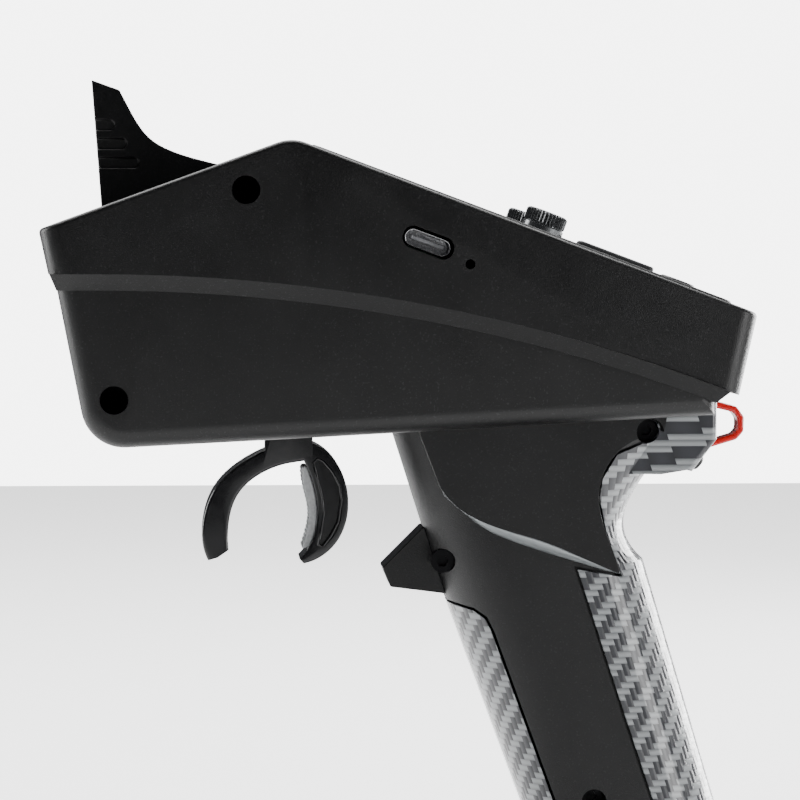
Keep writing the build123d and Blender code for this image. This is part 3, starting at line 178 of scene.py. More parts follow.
world = bpy.data.worlds.new("studio_room")
world.use_nodes = True
bpy.context.scene.world = world
room = world.node_tree
for old in list(room.nodes):
    room.nodes.remove(old)
seen = node(room, "Background", Color=(1, 1, 1, 1), Strength=room_brightness)
fill = node(room, "Background", Color=(0.93, 0.95, 1, 1), Strength=room_fill)
ray = node(room, "LightPath")
to_camera = ray.outputs["Is Camera Ray"]
blend = node(room, "MixShader", {0: to_camera, 1: fill.outputs[0], 2: seen.outputs[0]})
node(room, "OutputWorld", {"Surface": blend.outputs[0]})


def softbox(name, place, target, width, height, power, colour=(1, 1, 1)):
    """A rectangular soft light aimed at a point."""
    lamp = bpy.data.lights.new(name, "AREA")
    lamp.shape = "RECTANGLE"
    lamp.size = width
    lamp.size_y = height
    lamp.energy = power
    lamp.color = colour
    box = bpy.data.objects.new(name, lamp)
    box.location = place
    box.rotation_euler = (Vector(target) - Vector(place)).to_track_quat("-Z", "Y").to_euler()
    bpy.context.scene.collection.objects.link(box)


head_middle = (-0.03, 0, 0.13)
softbox("hand_side_light", (0.85, -0.55, 0.22), head_middle, 0.35, 0.6, 5)
softbox("hand_back_light", (0.60, 0.55, 0.18), (0.01, 0, 0.09), 0.4, 0.6, 12)
softbox("overhead_light", (-0.05, 0.35, 1.00), head_middle, 1.2, 0.9, 24)
softbox("nose_light", (-0.80, 0.20, 0.28), (-0.07, 0, 0.11), 0.35, 0.5, 5)


# ---- Head housing -------------------------------------------------------------------------
# Two injection-moulded ABS halves, screwed together through the deep holes in the left one.
# Their faces are spark-eroded: a fine even grain, whose glints are painted into the colour as small
# bright points.
def seated(piece, name, materials, replaced=()):
    """Puts materials on a piece, hangs it on the body of its node, and hides the nodes it replaces.
    """
    piece.data.materials.clear()
    for material in materials:
        piece.data.materials.append(material)
    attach(piece, body_of[name])
    if replaced:
        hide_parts(*replaced)


merge_gap = 1e-6
flat_angle = math.radians(0.4)


def softened(name, width, segments=2, angle=28.0):
    """A copy of a node with its edges broken by a small radius, where they turn past angle."""
    bm = bmesh.new()
    bm.from_mesh(nodes[name].data)
    bmesh.ops.remove_doubles(bm, verts=bm.verts, dist=merge_gap)
    bmesh.ops.dissolve_limit(bm, angle_limit=flat_angle, verts=bm.verts, edges=bm.edges)
    for face in bm.faces:
        face.smooth = True
    for edge in bm.edges:
        edge.smooth = edge.calc_face_angle(0) < math.radians(angle)
    piece = from_bmesh(name + "_form", bm)
    edges = piece.modifiers.new("edges", "BEVEL")
    edges.width = width
    edges.segments = segments
    edges.limit_method = "ANGLE"
    edges.angle_limit = math.radians(angle)
    edges.harden_normals = False
    edges.use_clamp_overlap = True
    return piece


def rounded(name, material, width, segments=2, angle=28.0):
    """Stands a softened copy of a node, in one material, for that node."""
    seated(softened(name, width, segments, angle), name, [material], [name])


def bump(tree, shader, height, depth):
    """Raises the surface by a height map times depth in metres."""
    relief = node(tree, "Bump", {"Height": height}, Strength=1.0, Distance=depth)
    tree.links.new(relief.outputs["Normal"], shader.inputs["Normal"])


def uneven_gloss(tree, shader, pattern, low, high):
    """Lets a piece's roughness wander between two values, following a noise texture."""
    tree.links.new(spread(tree, pattern.outputs[0], low, high), shader.inputs["Roughness"])


def moulded_black(name, colour, roughness, grain_depth, glint_share=0.5):
    """A dark moulding material: raised grain, slow mottling, bright flecks of painted glint."""
    material, tree, shader = finish_of(name, colour, roughness)
    grain = noise(tree, 5200, 2, 0.6)
    mottle = noise(tree, 90, 4, 0.6)
    glint_noise = noise(tree, 2600, 1, 0.4)
    glint_colour = tuple(min(1, c * 3.0 + 0.02) for c in colour)
    shade = tuple(c * 0.82 for c in colour)
    body_tint = tint(tree, spread(tree, mottle.outputs[0], 0, 1), shade, colour)
    # Small bright flecks mixed into the colour are painted glints of the spark-eroded grain.
    glint_mask = spread(tree, glint_noise.outputs[0], 0, glint_share, 0.62, 0.74)
    mix = node(tree, "Mix", data_type="RGBA")
    tree.links.new(glint_mask, mix.inputs[0])
    tree.links.new(body_tint, mix.inputs[6])
    mix.inputs[7].default_value = (*glint_colour, 1)
    tree.links.new(mix.outputs[2], shader.inputs["Base Color"])
    uneven_gloss(tree, shader, mottle, roughness - 0.05, roughness + 0.05)
    bump(tree, shader, grain.outputs[0], grain_depth)
    return material


housing = moulded_black("spark_eroded_black", (0.0055, 0.0055, 0.0058), 0.36, 0.00005)
for name in ("head_left_shell", "head_right_shell"):
    rounded(name, housing, 0.35 * MM, segments=3, angle=14)


# ---- Aerial fin ---------------------------------------------------------------------------
# A hollow ABS fin over the 2.4 GHz aerial board, snapped into the nose, with three grip
# grooves moulded into each side.
fin_plastic = moulded_black("fin_black", (0.005, 0.005, 0.0055), 0.34, 0.00004, 0.3)
rounded("fin_antenna_cover", fin_plastic, 0.25 * MM, segments=3)

# ---- Control panel and screen -------------------------------------------------------------
# A flat satin panel let into the sloping roof.  The screen's lens is smoked glass, set flush
# over the display, and the printed dial marks stand a hair above the panel.
panel_black = moulded_black("panel_satin", (0.006, 0.006, 0.0065), 0.5, 0.00002, 0.2)
rounded("top_panel", panel_black, 0.12 * MM)


def painted(name, material):
    """Gives a node that keeps its shape its material."""
    mesh = nodes[name].data
    mesh.materials.clear()
    mesh.materials.append(material)


lens_glass, tree, shader = finish_of(
    "smoked_lens", (0.006, 0.007, 0.009), 0.05, coat=1.0, coat_roughness=0.02
)
smear = noise(tree, 60, 3)
uneven_gloss(tree, shader, smear, 0.03, 0.09)
painted("screen_lens", lens_glass)

joint_of = {joint["child"]: joint for joint in record["behaviour"]["joints"]}
roof_up = Vector(joint_of["left_knob"]["axis"]).normalized()
roof_back = Vector((roof_up.z, 0, -roof_up.x))
roof_turn = Matrix((roof_back, Vector((0, 1, 0)), roof_up)).transposed().to_4x4()


def on_roof(bm, centre, height=0.0):
    """Moves a shape made flat at the origin onto the sloping roof, height above centre."""
    spot = Matrix.Translation(Vector(centre) + roof_up * height)
    bmesh.ops.transform(bm, matrix=spot @ roof_turn, verts=bm.verts)


def roof_height(name, start):
    """How far a node stands above a point, square to the roof."""
    return max((v.co - Vector(start)).dot(roof_up) for v in nodes[name].data.vertices)


def bar(bm, length, width, height, turn=0.0, out=0.0):
    """A small block lying at an angle, out from the centre, for printed marks and icons."""
    made = bmesh.ops.create_cube(bm, size=1.0)["verts"]
    bmesh.ops.scale(bm, verts=made, vec=(length, width, height))
    bmesh.ops.translate(bm, verts=made, vec=(out, 0, 0))
    bmesh.ops.rotate(bm, verts=made, cent=(0, 0, 0), matrix=Matrix.Rotation(turn, 3, "Z"))


print_white, tree, shader = finish_of("printed_white", (0.62, 0.63, 0.64), 0.55)
worn = noise(tree, 900, 3)
uneven_tint(tree, shader, worn, (0.5, 0.51, 0.52), (0.66, 0.67, 0.68))
mark_height = 0.06 * MM
dial_marks = 11
dial_sweep = math.radians(280)
dial_radius = 5.4 * MM
for side in ("left", "right"):
    start = joint_of[f"{side}_knob"]["pos_m"]
    bm = bmesh.new()
    for step in range(dial_marks):
        turn = math.pi - dial_sweep / 2 + dial_sweep * step / (dial_marks - 1)
        long = 1.6 if step in (0, dial_marks // 2, dial_marks - 1) else 1.0
        bar(bm, long * MM, 0.3 * MM, mark_height, turn, dial_radius + long * MM / 2)
    on_roof(bm, start, roof_height("top_panel", start) + 0.02 * MM)
    seated(from_bmesh(f"dial_print_{side}", bm), "top_panel", [print_white])

# ---- Knobs --------------------------------------------------------------------------------
# Two glossy knurled ABS knobs pushed onto potentiometer shafts, each with 36 ribs above a
# plain skirt, and a shallow dished top with a printed pointer.
rib_count = 36
rib_height = 0.045
dish_depth = 0.3 * MM
knob_gloss, tree, shader = finish_of("knob_gloss", (0.2, 0.205, 0.21), 0.24, metallic=0.85)
scuff = noise(tree, 1400, 4)
uneven_gloss(tree, shader, scuff, 0.18, 0.32)
bump(tree, shader, scuff.outputs[0], 0.00001)


def extruded_rings(bm, ring, levels, place):
    """Grows a closed ring of edges level by level, place(angle, level) giving each point."""
    for level in range(levels):
        if level:
            held = set(ring)
            edges = [e for e in bm.edges if e.verts[0] in held and e.verts[1] in held]
            made = bmesh.ops.extrude_edge_only(bm, edges=edges)["geom"]
            ring = [v for v in made if isinstance(v, bmesh.types.BMVert)]
        for v in ring:
            v.co = place(math.atan2(v.co.y, v.co.x), level)
    return ring


for side in ("left", "right"):
    name = f"knob_{side}"
    start = Vector(joint_of[f"{side}_knob"]["pos_m"])
    reach = [v.co - start for v in nodes[name].data.vertices]
    radius = max((r - roof_up * r.dot(roof_up)).length for r in reach)
    top = max(r.dot(roof_up) for r in reach)
    foot = roof_height("top_panel", start) + 0.25 * MM
    tall = top - foot
    knob_levels = [(0, 0.9, 0), (0, 1.0, 0), (0.9 * MM, 1.0, 0), (1.1 * MM, 0.93, 0)]
    knob_levels += [(1.35 * MM, 0.955, 1), (tall - 0.45 * MM, 0.955, 1)]
    knob_levels += [(tall - 0.12 * MM, 0.91, 0.6), (tall, 0.85, 0), (tall, 0.74, 0)]
    knob_levels += [(tall - dish_depth, 0.68, 0)]

    def knob_point(angle, level):
        """A point of the knob, from its levels of height, share of the radius and ribbing."""
        height, share, ribbed = knob_levels[level]
        out = radius * (share + ribbed * rib_height * math.cos(rib_count * angle))
        return Vector((out * math.cos(angle), out * math.sin(angle), height))

    bm = bmesh.new()
    bmesh.ops.create_circle(bm, segments=rib_count * 6, radius=radius, cap_ends=False)
    first = list(bm.verts)
    last = extruded_rings(bm, first, len(knob_levels), knob_point)
    bm.faces.new(last)
    bm.faces.new(first)
    bmesh.ops.recalc_face_normals(bm, faces=bm.faces)
    on_roof(bm, start, foot)
    seated(from_bmesh(f"{name}_form", bm), name, [knob_gloss], [name])
    bm = bmesh.new()
    bar(bm, 2.0 * MM, 0.45 * MM, 0.12 * MM, math.pi, 1.6 * MM)
    on_roof(bm, start, top - dish_depth)
    seated(from_bmesh(f"{name}_pointer", bm), name, [print_white])

# ---- Keys and trim rockers ----------------------------------------------------------------
# Grey ABS caps that press tact switches through the panel, a red power key, and two rockers
# on little pins for steering and throttle trim.  Raised generic signs mark their ends.
key_grey = moulded_black("key_grey", (0.055, 0.056, 0.058), 0.45, 0.00002, 0.1)
power_red, tree, shader = finish_of(
    "power_red", (0.42, 0.012, 0.01), 0.35, coat=0.3, coat_roughness=0.2
)
tone = noise(tree, 300, 3)
uneven_tint(tree, shader, tone, (0.36, 0.01, 0.008), (0.46, 0.016, 0.012))
for name in ("key_back", "key_enter", "key_menu", "throttle_trim", "steering_trim"):
    rounded(name, key_grey, 0.12 * MM)
rounded("power_button", power_red, 0.12 * MM)


def top_centre(name):
    """The middle of a node's top face, across the roof's normal."""
    points = [v.co for v in nodes[name].data.vertices]
    peak = max(p.dot(roof_up) for p in points)
    top = [p for p in points if p.dot(roof_up) > peak - 0.3 * MM]
    middle = Vector([(min(p[i] for p in top) + max(p[i] for p in top)) / 2 for i in range(3)])
    return middle + roof_up * (peak - middle.dot(roof_up))


# Each stroke is its length, width and turn, and how far out from the cap's middle it lies.
plus_and_minus = [(1.6, 0.35, 0.0, 4.6), (0.35, 1.6, 0.0, 4.6), (1.6, 0.35, 0.0, -4.6)]
key_signs = {
    "key_back": [(2.2, 0.4, 0.0, 0.0), (0.4, 1.4, 0.0, -1.1)],
    "key_enter": [(2.4, 0.4, 0.0, 0.0), (2.4, 0.4, math.pi / 2, 0.0)],
    "key_menu": [(2.2, 0.4, math.pi / 2, 0.6), (2.2, 0.4, math.pi / 2, -0.6)],
    "throttle_trim": plus_and_minus,
    "steering_trim": plus_and_minus,
    "power_button": [(2.4, 0.5, 0.0, 0.0)],
}
for name, strokes in key_signs.items():
    bm = bmesh.new()
    for length, width, turn, out in strokes:
        bar(bm, length * MM, width * MM, mark_height, turn, out * MM)
    on_roof(bm, top_centre(name), 0.01 * MM)
    seated(from_bmesh(f"{name}_sign", bm), name, [print_white])

# ---- USB-C port ---------------------------------------------------------------------------
# A standard receptacle on the main board's edge: a drawn steel shell, nickel plated, round a
# pale tongue with its contacts, in a rounded hole in the left wall.
nickel, tree, shader = finish_of("drawn_nickel", (0.66, 0.66, 0.67), 0.22, metallic=1.0)
drawn = noise(tree, 700, 4)
uneven_gloss(tree, shader, drawn, 0.14, 0.34)
bump(tree, shader, drawn.outputs[0], 0.00001)
tongue_plastic, tree, shader = finish_of("tongue_plastic", (0.5, 0.51, 0.53), 0.3)
tone = noise(tree, 900, 2)
uneven_gloss(tree, shader, tone, 0.24, 0.36)
# A black finish for the deep inside of the nickel shell: painted shade for the dark depth of the
# hole.
port_shade_black = moulded_black("port_shade_black", (0.004, 0.004, 0.004), 0.5, 0.00001, 0.0)
port_low, port_high = (Vector(corner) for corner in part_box("usb_c_port"))
port_deep = port_high.y - port_low.y
port_radius = 1.63 * MM
port_straight = 2.84 * MM
port_lip = 0.28 * MM
port_steps = 16
shade_start = 0.5 * MM
shade_inset = 0.2 * MM
port_levels = [(0.0, port_deep), (0.0, 0.12 * MM), (0.05 * MM, 0.03 * MM), (0.12 * MM, 0.0)]
port_levels += [(port_lip - 0.08 * MM, 0.0), (port_lip, 0.08 * MM)]
port_levels += [(port_lip, port_deep - 0.6 * MM)]


def port_reach(point):
    """How far a point is from the straight line along the middle of the receptacle."""
    return math.hypot(max(abs(point.x) - port_straight, 0), point.z)


bm = bmesh.new()
rings = []
for inset, depth in port_levels:
    ring = []
    for side in (1, -1):
        for step in range(port_steps + 1):
            turn = math.pi * (step / port_steps - 0.5) + (0 if side > 0 else math.pi)
            reach = port_radius - inset
            corner = (side * port_straight + reach * math.cos(turn), reach * math.sin(turn))
            ring.append(bm.verts.new((corner[0], depth, corner[1])))
    rings.append(ring)
count = len(rings[0])
for outer, inner in zip(rings, rings[1:]):
    for i in range(count):
        bm.faces.new((outer[i], outer[(i + 1) % count], inner[(i + 1) % count], inner[i]))
bm.faces.new(rings[0])
bm.faces.new(rings[-1])
bmesh.ops.recalc_face_normals(bm, faces=bm.faces)
# The shell's inner walls and back, deeper than the start, get the black finish as painted shade.
for face in bm.faces:
    deep = face.calc_center_median().y > shade_start
    inside = max(port_reach(v.co) for v in face.verts) < port_radius - shade_inset
    face.material_index = 1 if deep and inside else 0
    face.smooth = len(face.verts) == 4
bmesh.ops.translate(bm, verts=bm.verts, vec=(0, -port_deep / 2, 0))
on_roof(bm, (port_low + port_high) / 2)
seated(from_bmesh("usb_shell", bm), "usb_c_port", [nickel, port_shade_black], ["usb_c_port"])
bm = bmesh.new()
made = bmesh.ops.create_cube(bm, size=1.0)["verts"]
bmesh.ops.scale(bm, verts=made, vec=(6.3 * MM, port_deep - 1.6 * MM, 0.6 * MM))
bmesh.ops.bevel(
    bm, geom=bm.edges[:], offset=0.1 * MM, segments=2, affect="EDGES", profile=0.5, material=-1
)
contact_count = 12
contact_pitch = 0.5 * MM
for step in range(contact_count):
    along = (step - (contact_count - 1) / 2) * contact_pitch
    for side in (-1, 1):
        pin = bmesh.ops.create_cube(bm, size=1.0)["verts"]
        bmesh.ops.scale(bm, verts=pin, vec=(0.26 * MM, 4.0 * MM, 0.06 * MM))
        bmesh.ops.translate(bm, verts=pin, vec=(along, -0.6 * MM, side * 0.31 * MM))
on_roof(bm, (port_low + port_high) / 2)
seated(from_bmesh("usb_tongue", bm), "usb_c_port", [tongue_plastic])

# ---- Steering wheel -----------------------------------------------------------------------
# A moulded nylon rim and web on a steel shaft, inside a foam tyre whose tread is cut across
# with 36 slots for grip.  The pod behind it carries its two ball bearings.
wheel_start = Vector(joint_of["steering_wheel"]["pos_m"])
tyre_low, tyre_high = (Vector(corner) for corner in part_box("wheel_grip"))
tyre_radius = (tyre_high.z - tyre_low.z) / 2
tyre_width = tyre_high.y - tyre_low.y
tyre_bore = min(
    math.hypot(v.co.x - wheel_start.x, v.co.z - wheel_start.z)
    for v in nodes["wheel_grip"].data.vertices
)
foam, tree, shader = finish_of("wheel_foam", (0.016, 0.016, 0.017), 0.92)
place = node(tree, "TexCoord").outputs["Object"]
cells = node(tree, "TexVoronoi", {"Vector": place}, Scale=1700)
shade = noise(tree, 160, 4)
uneven_tint(tree, shader, shade, (0.012, 0.012, 0.013), (0.026, 0.026, 0.027))
bump(tree, shader, cells.outputs["Distance"], 0.00025)
tread_slots = 36
slot_depth = 1.3 * MM
slot_from, slot_to = 0.3, 0.6
tyre_levels = [(tyre_bore, 0, 0), (tyre_radius - 1.2 * MM, 0, 0)]
tyre_levels += [(tyre_radius - 0.35 * MM, 0.35 * MM, 0), (tyre_radius, 1.2 * MM, 0)]
tyre_levels += [(tyre_radius, 2.9 * MM, 0), (tyre_radius, 3.1 * MM, 1)]
tyre_levels += [(r, tyre_width - h, cut) for r, h, cut in reversed(tyre_levels)]


def tyre_point(angle, level):
    """A point of the tyre, from its levels of radius, height and whether the slots cut it."""
    reach, height, cut = tyre_levels[level]
    phase = (angle / (2 * math.pi) * tread_slots) % 1.0
    out = reach - (slot_depth if cut and slot_from < phase < slot_to else 0.0)
    return Vector((out * math.cos(angle), out * math.sin(angle), height))


bm = bmesh.new()
bmesh.ops.create_circle(bm, segments=tread_slots * 10, radius=tyre_radius, cap_ends=False)
extruded_rings(bm, list(bm.verts), len(tyre_levels), tyre_point)
ends = [e for e in bm.edges if e.is_boundary]
bmesh.ops.bridge_loops(bm, edges=ends)
bmesh.ops.recalc_face_normals(bm, faces=bm.faces)
across_head = Matrix.Rotation(math.pi / 2, 3, "X")
bmesh.ops.rotate(bm, verts=bm.verts, cent=(0, 0, 0), matrix=across_head)
bmesh.ops.translate(bm, verts=bm.verts, vec=(wheel_start.x, tyre_high.y, wheel_start.z))
seated(from_bmesh("foam_tyre", bm), "wheel_grip", [foam], ["wheel_grip"])

wheel_nylon = moulded_black("wheel_nylon", (0.016, 0.016, 0.017), 0.38, 0.00002, 0.2)
rounded("wheel_rim", wheel_nylon, 0.3 * MM, segments=3)
rounded("wheel_pod", housing, 0.2 * MM)

# ---- Steel and fasteners ------------------------------------------------------------------
# Turned steel shafts and bearing rings, black-oxide socket screws and the wheel's nut.  The
# springs are hardened wire, and the magnet under the steering sensor is nickel plated.
turned, tree, shader = finish_of("turned_steel", (0.5, 0.5, 0.51), 0.3, metallic=1.0)
lathe = noise(tree, 1500, 3)
uneven_gloss(tree, shader, lathe, 0.22, 0.42)
bump(tree, shader, lathe.outputs[0], 0.00001)
for name in nodes:
    if slot_of[name] == "steel":
        painted(name, turned)
blackened, tree, shader = finish_of("black_oxide", (0.012, 0.012, 0.013), 0.4, metallic=0.9)
oxide = noise(tree, 1100, 4)
uneven_gloss(tree, shader, oxide, 0.3, 0.5)
bump(tree, shader, oxide.outputs[0], 0.00001)
for name in nodes:
    if slot_of[name] == "blackened_steel" and name != "wheel_nut":
        painted(name, blackened)
rounded("wheel_nut", blackened, 0.3 * MM)

# ---- Trigger ------------------------------------------------------------------------------
# The yoke with its brake arc, and the throttle arm, are moulded in glossy black acetal.  A
# soft pad with raised dots lines the arm where the finger pulls.
acetal, tree, shader = finish_of(
    "glossy_acetal", (0.008, 0.008, 0.009), 0.16, coat=0.35, coat_roughness=0.1
)
swirl = noise(tree, 500, 4)
uneven_gloss(tree, shader, swirl, 0.12, 0.24)
bump(tree, shader, noise(tree, 2500, 2).outputs[0], 0.000006)
for name in ("trigger_yoke", "throttle_arm"):
    rounded(name, acetal, 0.35 * MM, segments=3)


def bead(bm, points, radius, closed=True, sides=8):
    """A round bead through points in the plane y = 0, as a tube."""
    count = len(points)
    rings = []
    for i, (x, z) in enumerate(points):
        after = points[(i + 1) % count] if closed or i + 1 < count else points[i]
        before = points[i - 1] if closed or i else points[i]
        way = Vector((after[0] - before[0], 0, after[1] - before[1])).normalized()
        out = way.cross(Vector((0, 1, 0)))
        ring = []
        for step in range(sides):
            turn = 2 * math.pi * step / sides
            flat = Vector((x, 0, z)) + out * radius * math.cos(turn)
            ring.append(bm.verts.new(flat + Vector((0, radius * math.sin(turn), 0))))
        rings.append(ring)
    for first, after in zip(rings, rings[1:] + (rings[:1] if closed else [])):
        for i in range(sides):
            bm.faces.new((first[i], first[(i + 1) % sides], after[(i + 1) % sides], after[i]))
    if not closed:
        bm.faces.new(rings[0])
        bm.faces.new(rings[-1])


# The rim's line, as (x, z) in millimetres, runs once round the arm's shallow pocket.
rim_line = [(-52.8, 107.8), (-52.0, 108.6), (-50.9, 108.1), (-49.1, 106.0), (-47.7, 103.3)]
rim_line += [(-47.4, 100.6), (-48.0, 96.5), (-49.4, 93.8), (-50.9, 91.7), (-51.9, 92.1)]
rim_line += [(-51.3, 94.8), (-50.8, 97.9), (-51.1, 101.3), (-52.0, 104.7)]
rim_points = [(x * MM, z * MM) for x, z in rim_line]
rim_radius = 0.3 * MM
arm_low, arm_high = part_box("throttle_arm")
for side in (-1, 1):
    bm = bmesh.new()
    bead(bm, rim_points, rim_radius)
    bmesh.ops.recalc_face_normals(bm, faces=bm.faces)
    arm_y = arm_low[1] if side < 0 else arm_high[1]
    bmesh.ops.translate(bm, verts=bm.verts, vec=(0, arm_y - side * 0.1 * MM, 0))
    for face in bm.faces:
        face.smooth = True
    label = "left" if side < 0 else "right"
    seated(from_bmesh(f"arm_rim_{label}", bm), "throttle_arm", [acetal])

# The pad's pale grey is a painted reflection, the glancing glare on the crowned pad drawn into its
# colour.
pad_reflection_grey, tree, shader = finish_of("pad_reflection_grey", (0.55, 0.56, 0.57), 0.6)
grain_and_glare = noise(tree, 1800, 3)
# The noise wanders the painted grey and also raises a fine grain.
uneven_tint(tree, shader, grain_and_glare, (0.48, 0.49, 0.50), (0.62, 0.63, 0.64))
bump(tree, shader, grain_and_glare.outputs[0], 0.00002)
rounded("trigger_pad", pad_reflection_grey, 0.3 * MM, segments=3)


trees = {}


def surface_hit(name, start, direction):
    """Where a line from start first meets a node, and the surface's normal there."""
    if name not in trees:
        mesh = nodes[name].data
        corners = [v.co.copy() for v in mesh.vertices]
        trees[name] = BVHTree.FromPolygons(corners, [list(f.vertices) for f in mesh.polygons])
    return trees[name].ray_cast(Vector(start), Vector(direction))[:2]


dot_rows = 19
dot_columns = 7
dot_radius = 0.38 * MM
pad_low, pad_high = (Vector(corner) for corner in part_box("trigger_pad"))
bm = bmesh.new()
for row in range(dot_rows):
    z = pad_low.z + (pad_high.z - pad_low.z) * (row + 0.8) / (dot_rows + 0.6)
    stagger = 0.75 - 0.5 * (row % 2)
    for column in range(dot_columns):
        y = pad_low.y + (pad_high.y - pad_low.y) * (column + stagger) / dot_columns
        if not pad_low.y + dot_radius < y < pad_high.y - dot_radius:
            continue
        place, normal = surface_hit("trigger_pad", (pad_low.x - 20 * MM, y, z), (1, 0, 0))
        if place is None:
            continue
        dome = bmesh.ops.create_icosphere(bm, subdivisions=2, radius=dot_radius)["verts"]
        bmesh.ops.scale(bm, verts=dome, vec=(1, 1, 0.6))
        turn = normal.to_track_quat("Z", "Y").to_matrix()
        bmesh.ops.rotate(bm, verts=dome, cent=(0, 0, 0), matrix=turn)
        bmesh.ops.translate(bm, verts=dome, vec=place)
for face in bm.faces:
    face.smooth = True
# The dots share the pad's painted-reflection grey.
seated(from_bmesh("pad_dots", bm), "trigger_pad", [pad_reflection_grey])

# ---- Grip ---------------------------------------------------------------------------------
# Two moulded halves with a fine leather-like grain, screwed across.  Raised neck plates, a
# little smoother, cover the sides of the neck.
grip_skin = moulded_black("grip_grain", (0.0045, 0.0045, 0.005), 0.4, 0.00008, 0.35)
for name in ("grip_left_shell", "grip_right_shell"):
    rounded(name, grip_skin, 0.16 * MM, angle=14)
plate_satin = moulded_black("plate_satin", (0.0055, 0.0055, 0.006), 0.38, 0.00004, 0.35)
for name in ("neck_plate_left", "neck_plate_right"):
    rounded(name, plate_satin, 0.5 * MM, segments=3)
rounded("finger_spur", fin_plastic, 0.25 * MM, segments=3)
rounded("thumb_button", panel_black, 0.3 * MM, segments=3)

# ---- Neck trim ----------------------------------------------------------------------------
# A glossy crescent chamfer runs along the lower edge of each neck plate, bridging the step down
# to the grip's side.  It is drawn as a thin strip on the plate, its pale grey a painted reflection.
# The pale grey, part metallic colour is a painted reflection of the bright room in the dark glossy
# chamfer.
trim_reflection_grey, tree, shader = finish_of("trim_reflection_grey", (0.42, 0.45, 0.46), 0.16, metallic=0.4)
sheen = noise(tree, 240, 3)
uneven_gloss(tree, shader, sheen, 0.12, 0.24)
bump(tree, shader, noise(tree, 1800, 2).outputs[0], 0.000008)
# Both lines are (x, z) in millimetres, from the front of the neck to its back.
upper_line = [(-29.3, 103.8), (-26.2, 100.7), (-22.6, 97.9), (-16.3, 95.5)]
upper_line += [(-9.4, 93.4), (-1.5, 90.0), (4.6, 87.4)]
lower_line = [(-28.4, 102.0), (-25.2, 99.2), (-20.7, 95.8), (-16.0, 93.7)]
lower_line += [(-9.9, 91.6), (-3.9, 89.7), (4.0, 87.2)]
trim_steps = 6
trim_bows = 5
trim_bow = 0.22 * MM
trim_thick = 0.4 * MM


def smooth_line(points, steps):
    """Catmull-Rom points through a line of (x, z) in millimetres."""
    out = []
    for i in range(len(points) - 1):
        a, b = Vector(points[max(i - 1, 0)]), Vector(points[i])
        c, d = Vector(points[i + 1]), Vector(points[min(i + 2, len(points) - 1)])
        for step in range(steps):
            t = step / steps
            curve = 2 * b + (c - a) * t + (2 * a - 5 * b + 4 * c - d) * t**2
            out.append(0.5 * (curve + (3 * b - a - 3 * c + d) * t**3))
    return out + [Vector(points[-1])]


for side, label in ((-1, "left"), (1, "right")):
    plate_low, plate_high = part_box(f"neck_plate_{label}")
    plate_y = plate_low[1] if side < 0 else plate_high[1]
    bm = bmesh.new()
    rows = []
    lines = smooth_line(upper_line, trim_steps), smooth_line(lower_line, trim_steps)
    for high, low in zip(*lines):
        foot_start = (low.x * MM, side * 40 * MM, low.y * MM)
        place = surface_hit(f"grip_{label}_shell", foot_start, (0, -side, 0))[0]
        top_point = Vector((high.x * MM, plate_y - side * 0.25 * MM, high.y * MM))
        foot_point = Vector((low.x * MM, place.y, low.y * MM))
        row = []
        for step in range(trim_bows + 1):
            share = step / trim_bows
            bow = Vector((0, side * math.sin(math.pi * share) * trim_bow, 0))
            row.append(bm.verts.new(top_point.lerp(foot_point, share) + bow))
        rows.append(row)
    for this, after in zip(rows, rows[1:]):
        for step in range(trim_bows):
            bm.faces.new((this[step], this[step + 1], after[step + 1], after[step]))
    bmesh.ops.recalc_face_normals(bm, faces=bm.faces)
    if (bm.faces[:][0].normal.y > 0) != (side > 0):
        bmesh.ops.reverse_faces(bm, faces=bm.faces)
    for face in bm.faces:
        face.smooth = True
    strip = from_bmesh(f"neck_trim_{label}", bm)
    depth = strip.modifiers.new("thickness", "SOLIDIFY")
    depth.thickness = trim_thick
    depth.offset = -1.0
    seated(strip, f"neck_plate_{label}", [trim_reflection_grey])

# ---- Woven inlays and tail ----------------------------------------------------------------
# Thin shells printed with a 2 by 2 twill weave under clear gloss, let into the front and the
# rear of the grip, and the tail block in the same finish.
tow = 1.17 * MM
grip_lean = 0.325
grip_bend = 18 * MM
weave, tree, shader = finish_of(
    "twill_weave", (0.2, 0.2, 0.21), 0.34, coat=0.8, coat_roughness=0.06
)


def maths(operation, first, second=0.0):
    """The output of a math node in the weave's tree, from sockets or plain numbers."""
    made = node(tree, "Math", operation=operation)
    for slot, value in enumerate((first, second)):
        if isinstance(value, bpy.types.NodeSocket):
            tree.links.new(value, made.inputs[slot])
        else:
            made.inputs[slot].default_value = value
    return made.outputs[0]


shell = [v.co for v in nodes["grip_left_shell"].data.vertices if 0.03 < v.co.z < 0.08]
leaned = [p.x + p.z * grip_lean for p in shell]
grip_middle = (min(leaned) + max(leaned)) / 2
apart = node(tree, "SeparateXYZ", {0: node(tree, "TexCoord").outputs["Object"]})
along = apart.outputs["Z"]
leaning = maths("MULTIPLY", apart.outputs["Z"], grip_lean)
across = maths("SUBTRACT", maths("ADD", apart.outputs["X"], leaning), grip_middle)
around = maths("MULTIPLY", maths("ARCTAN2", apart.outputs["Y"], across), grip_bend)
warp_place = maths("DIVIDE", around, tow)
weft_place = maths("DIVIDE", along, tow)
warp_step = maths("FLOOR", warp_place)
weft_step = maths("FLOOR", weft_place)
phase = maths("FLOORED_MODULO", maths("SUBTRACT", warp_step, weft_step), 4.0)
over = maths("LESS_THAN", phase, 1.5)
crown = maths("SINE", maths("MULTIPLY", maths("FRACT", warp_place), math.pi))
dip = maths("SINE", maths("MULTIPLY", maths("FRACT", weft_place), math.pi))
relief = node(tree, "Mix", data_type="FLOAT")
tree.links.new(over, relief.inputs[0])
tree.links.new(dip, relief.inputs[2])
tree.links.new(crown, relief.inputs[3])
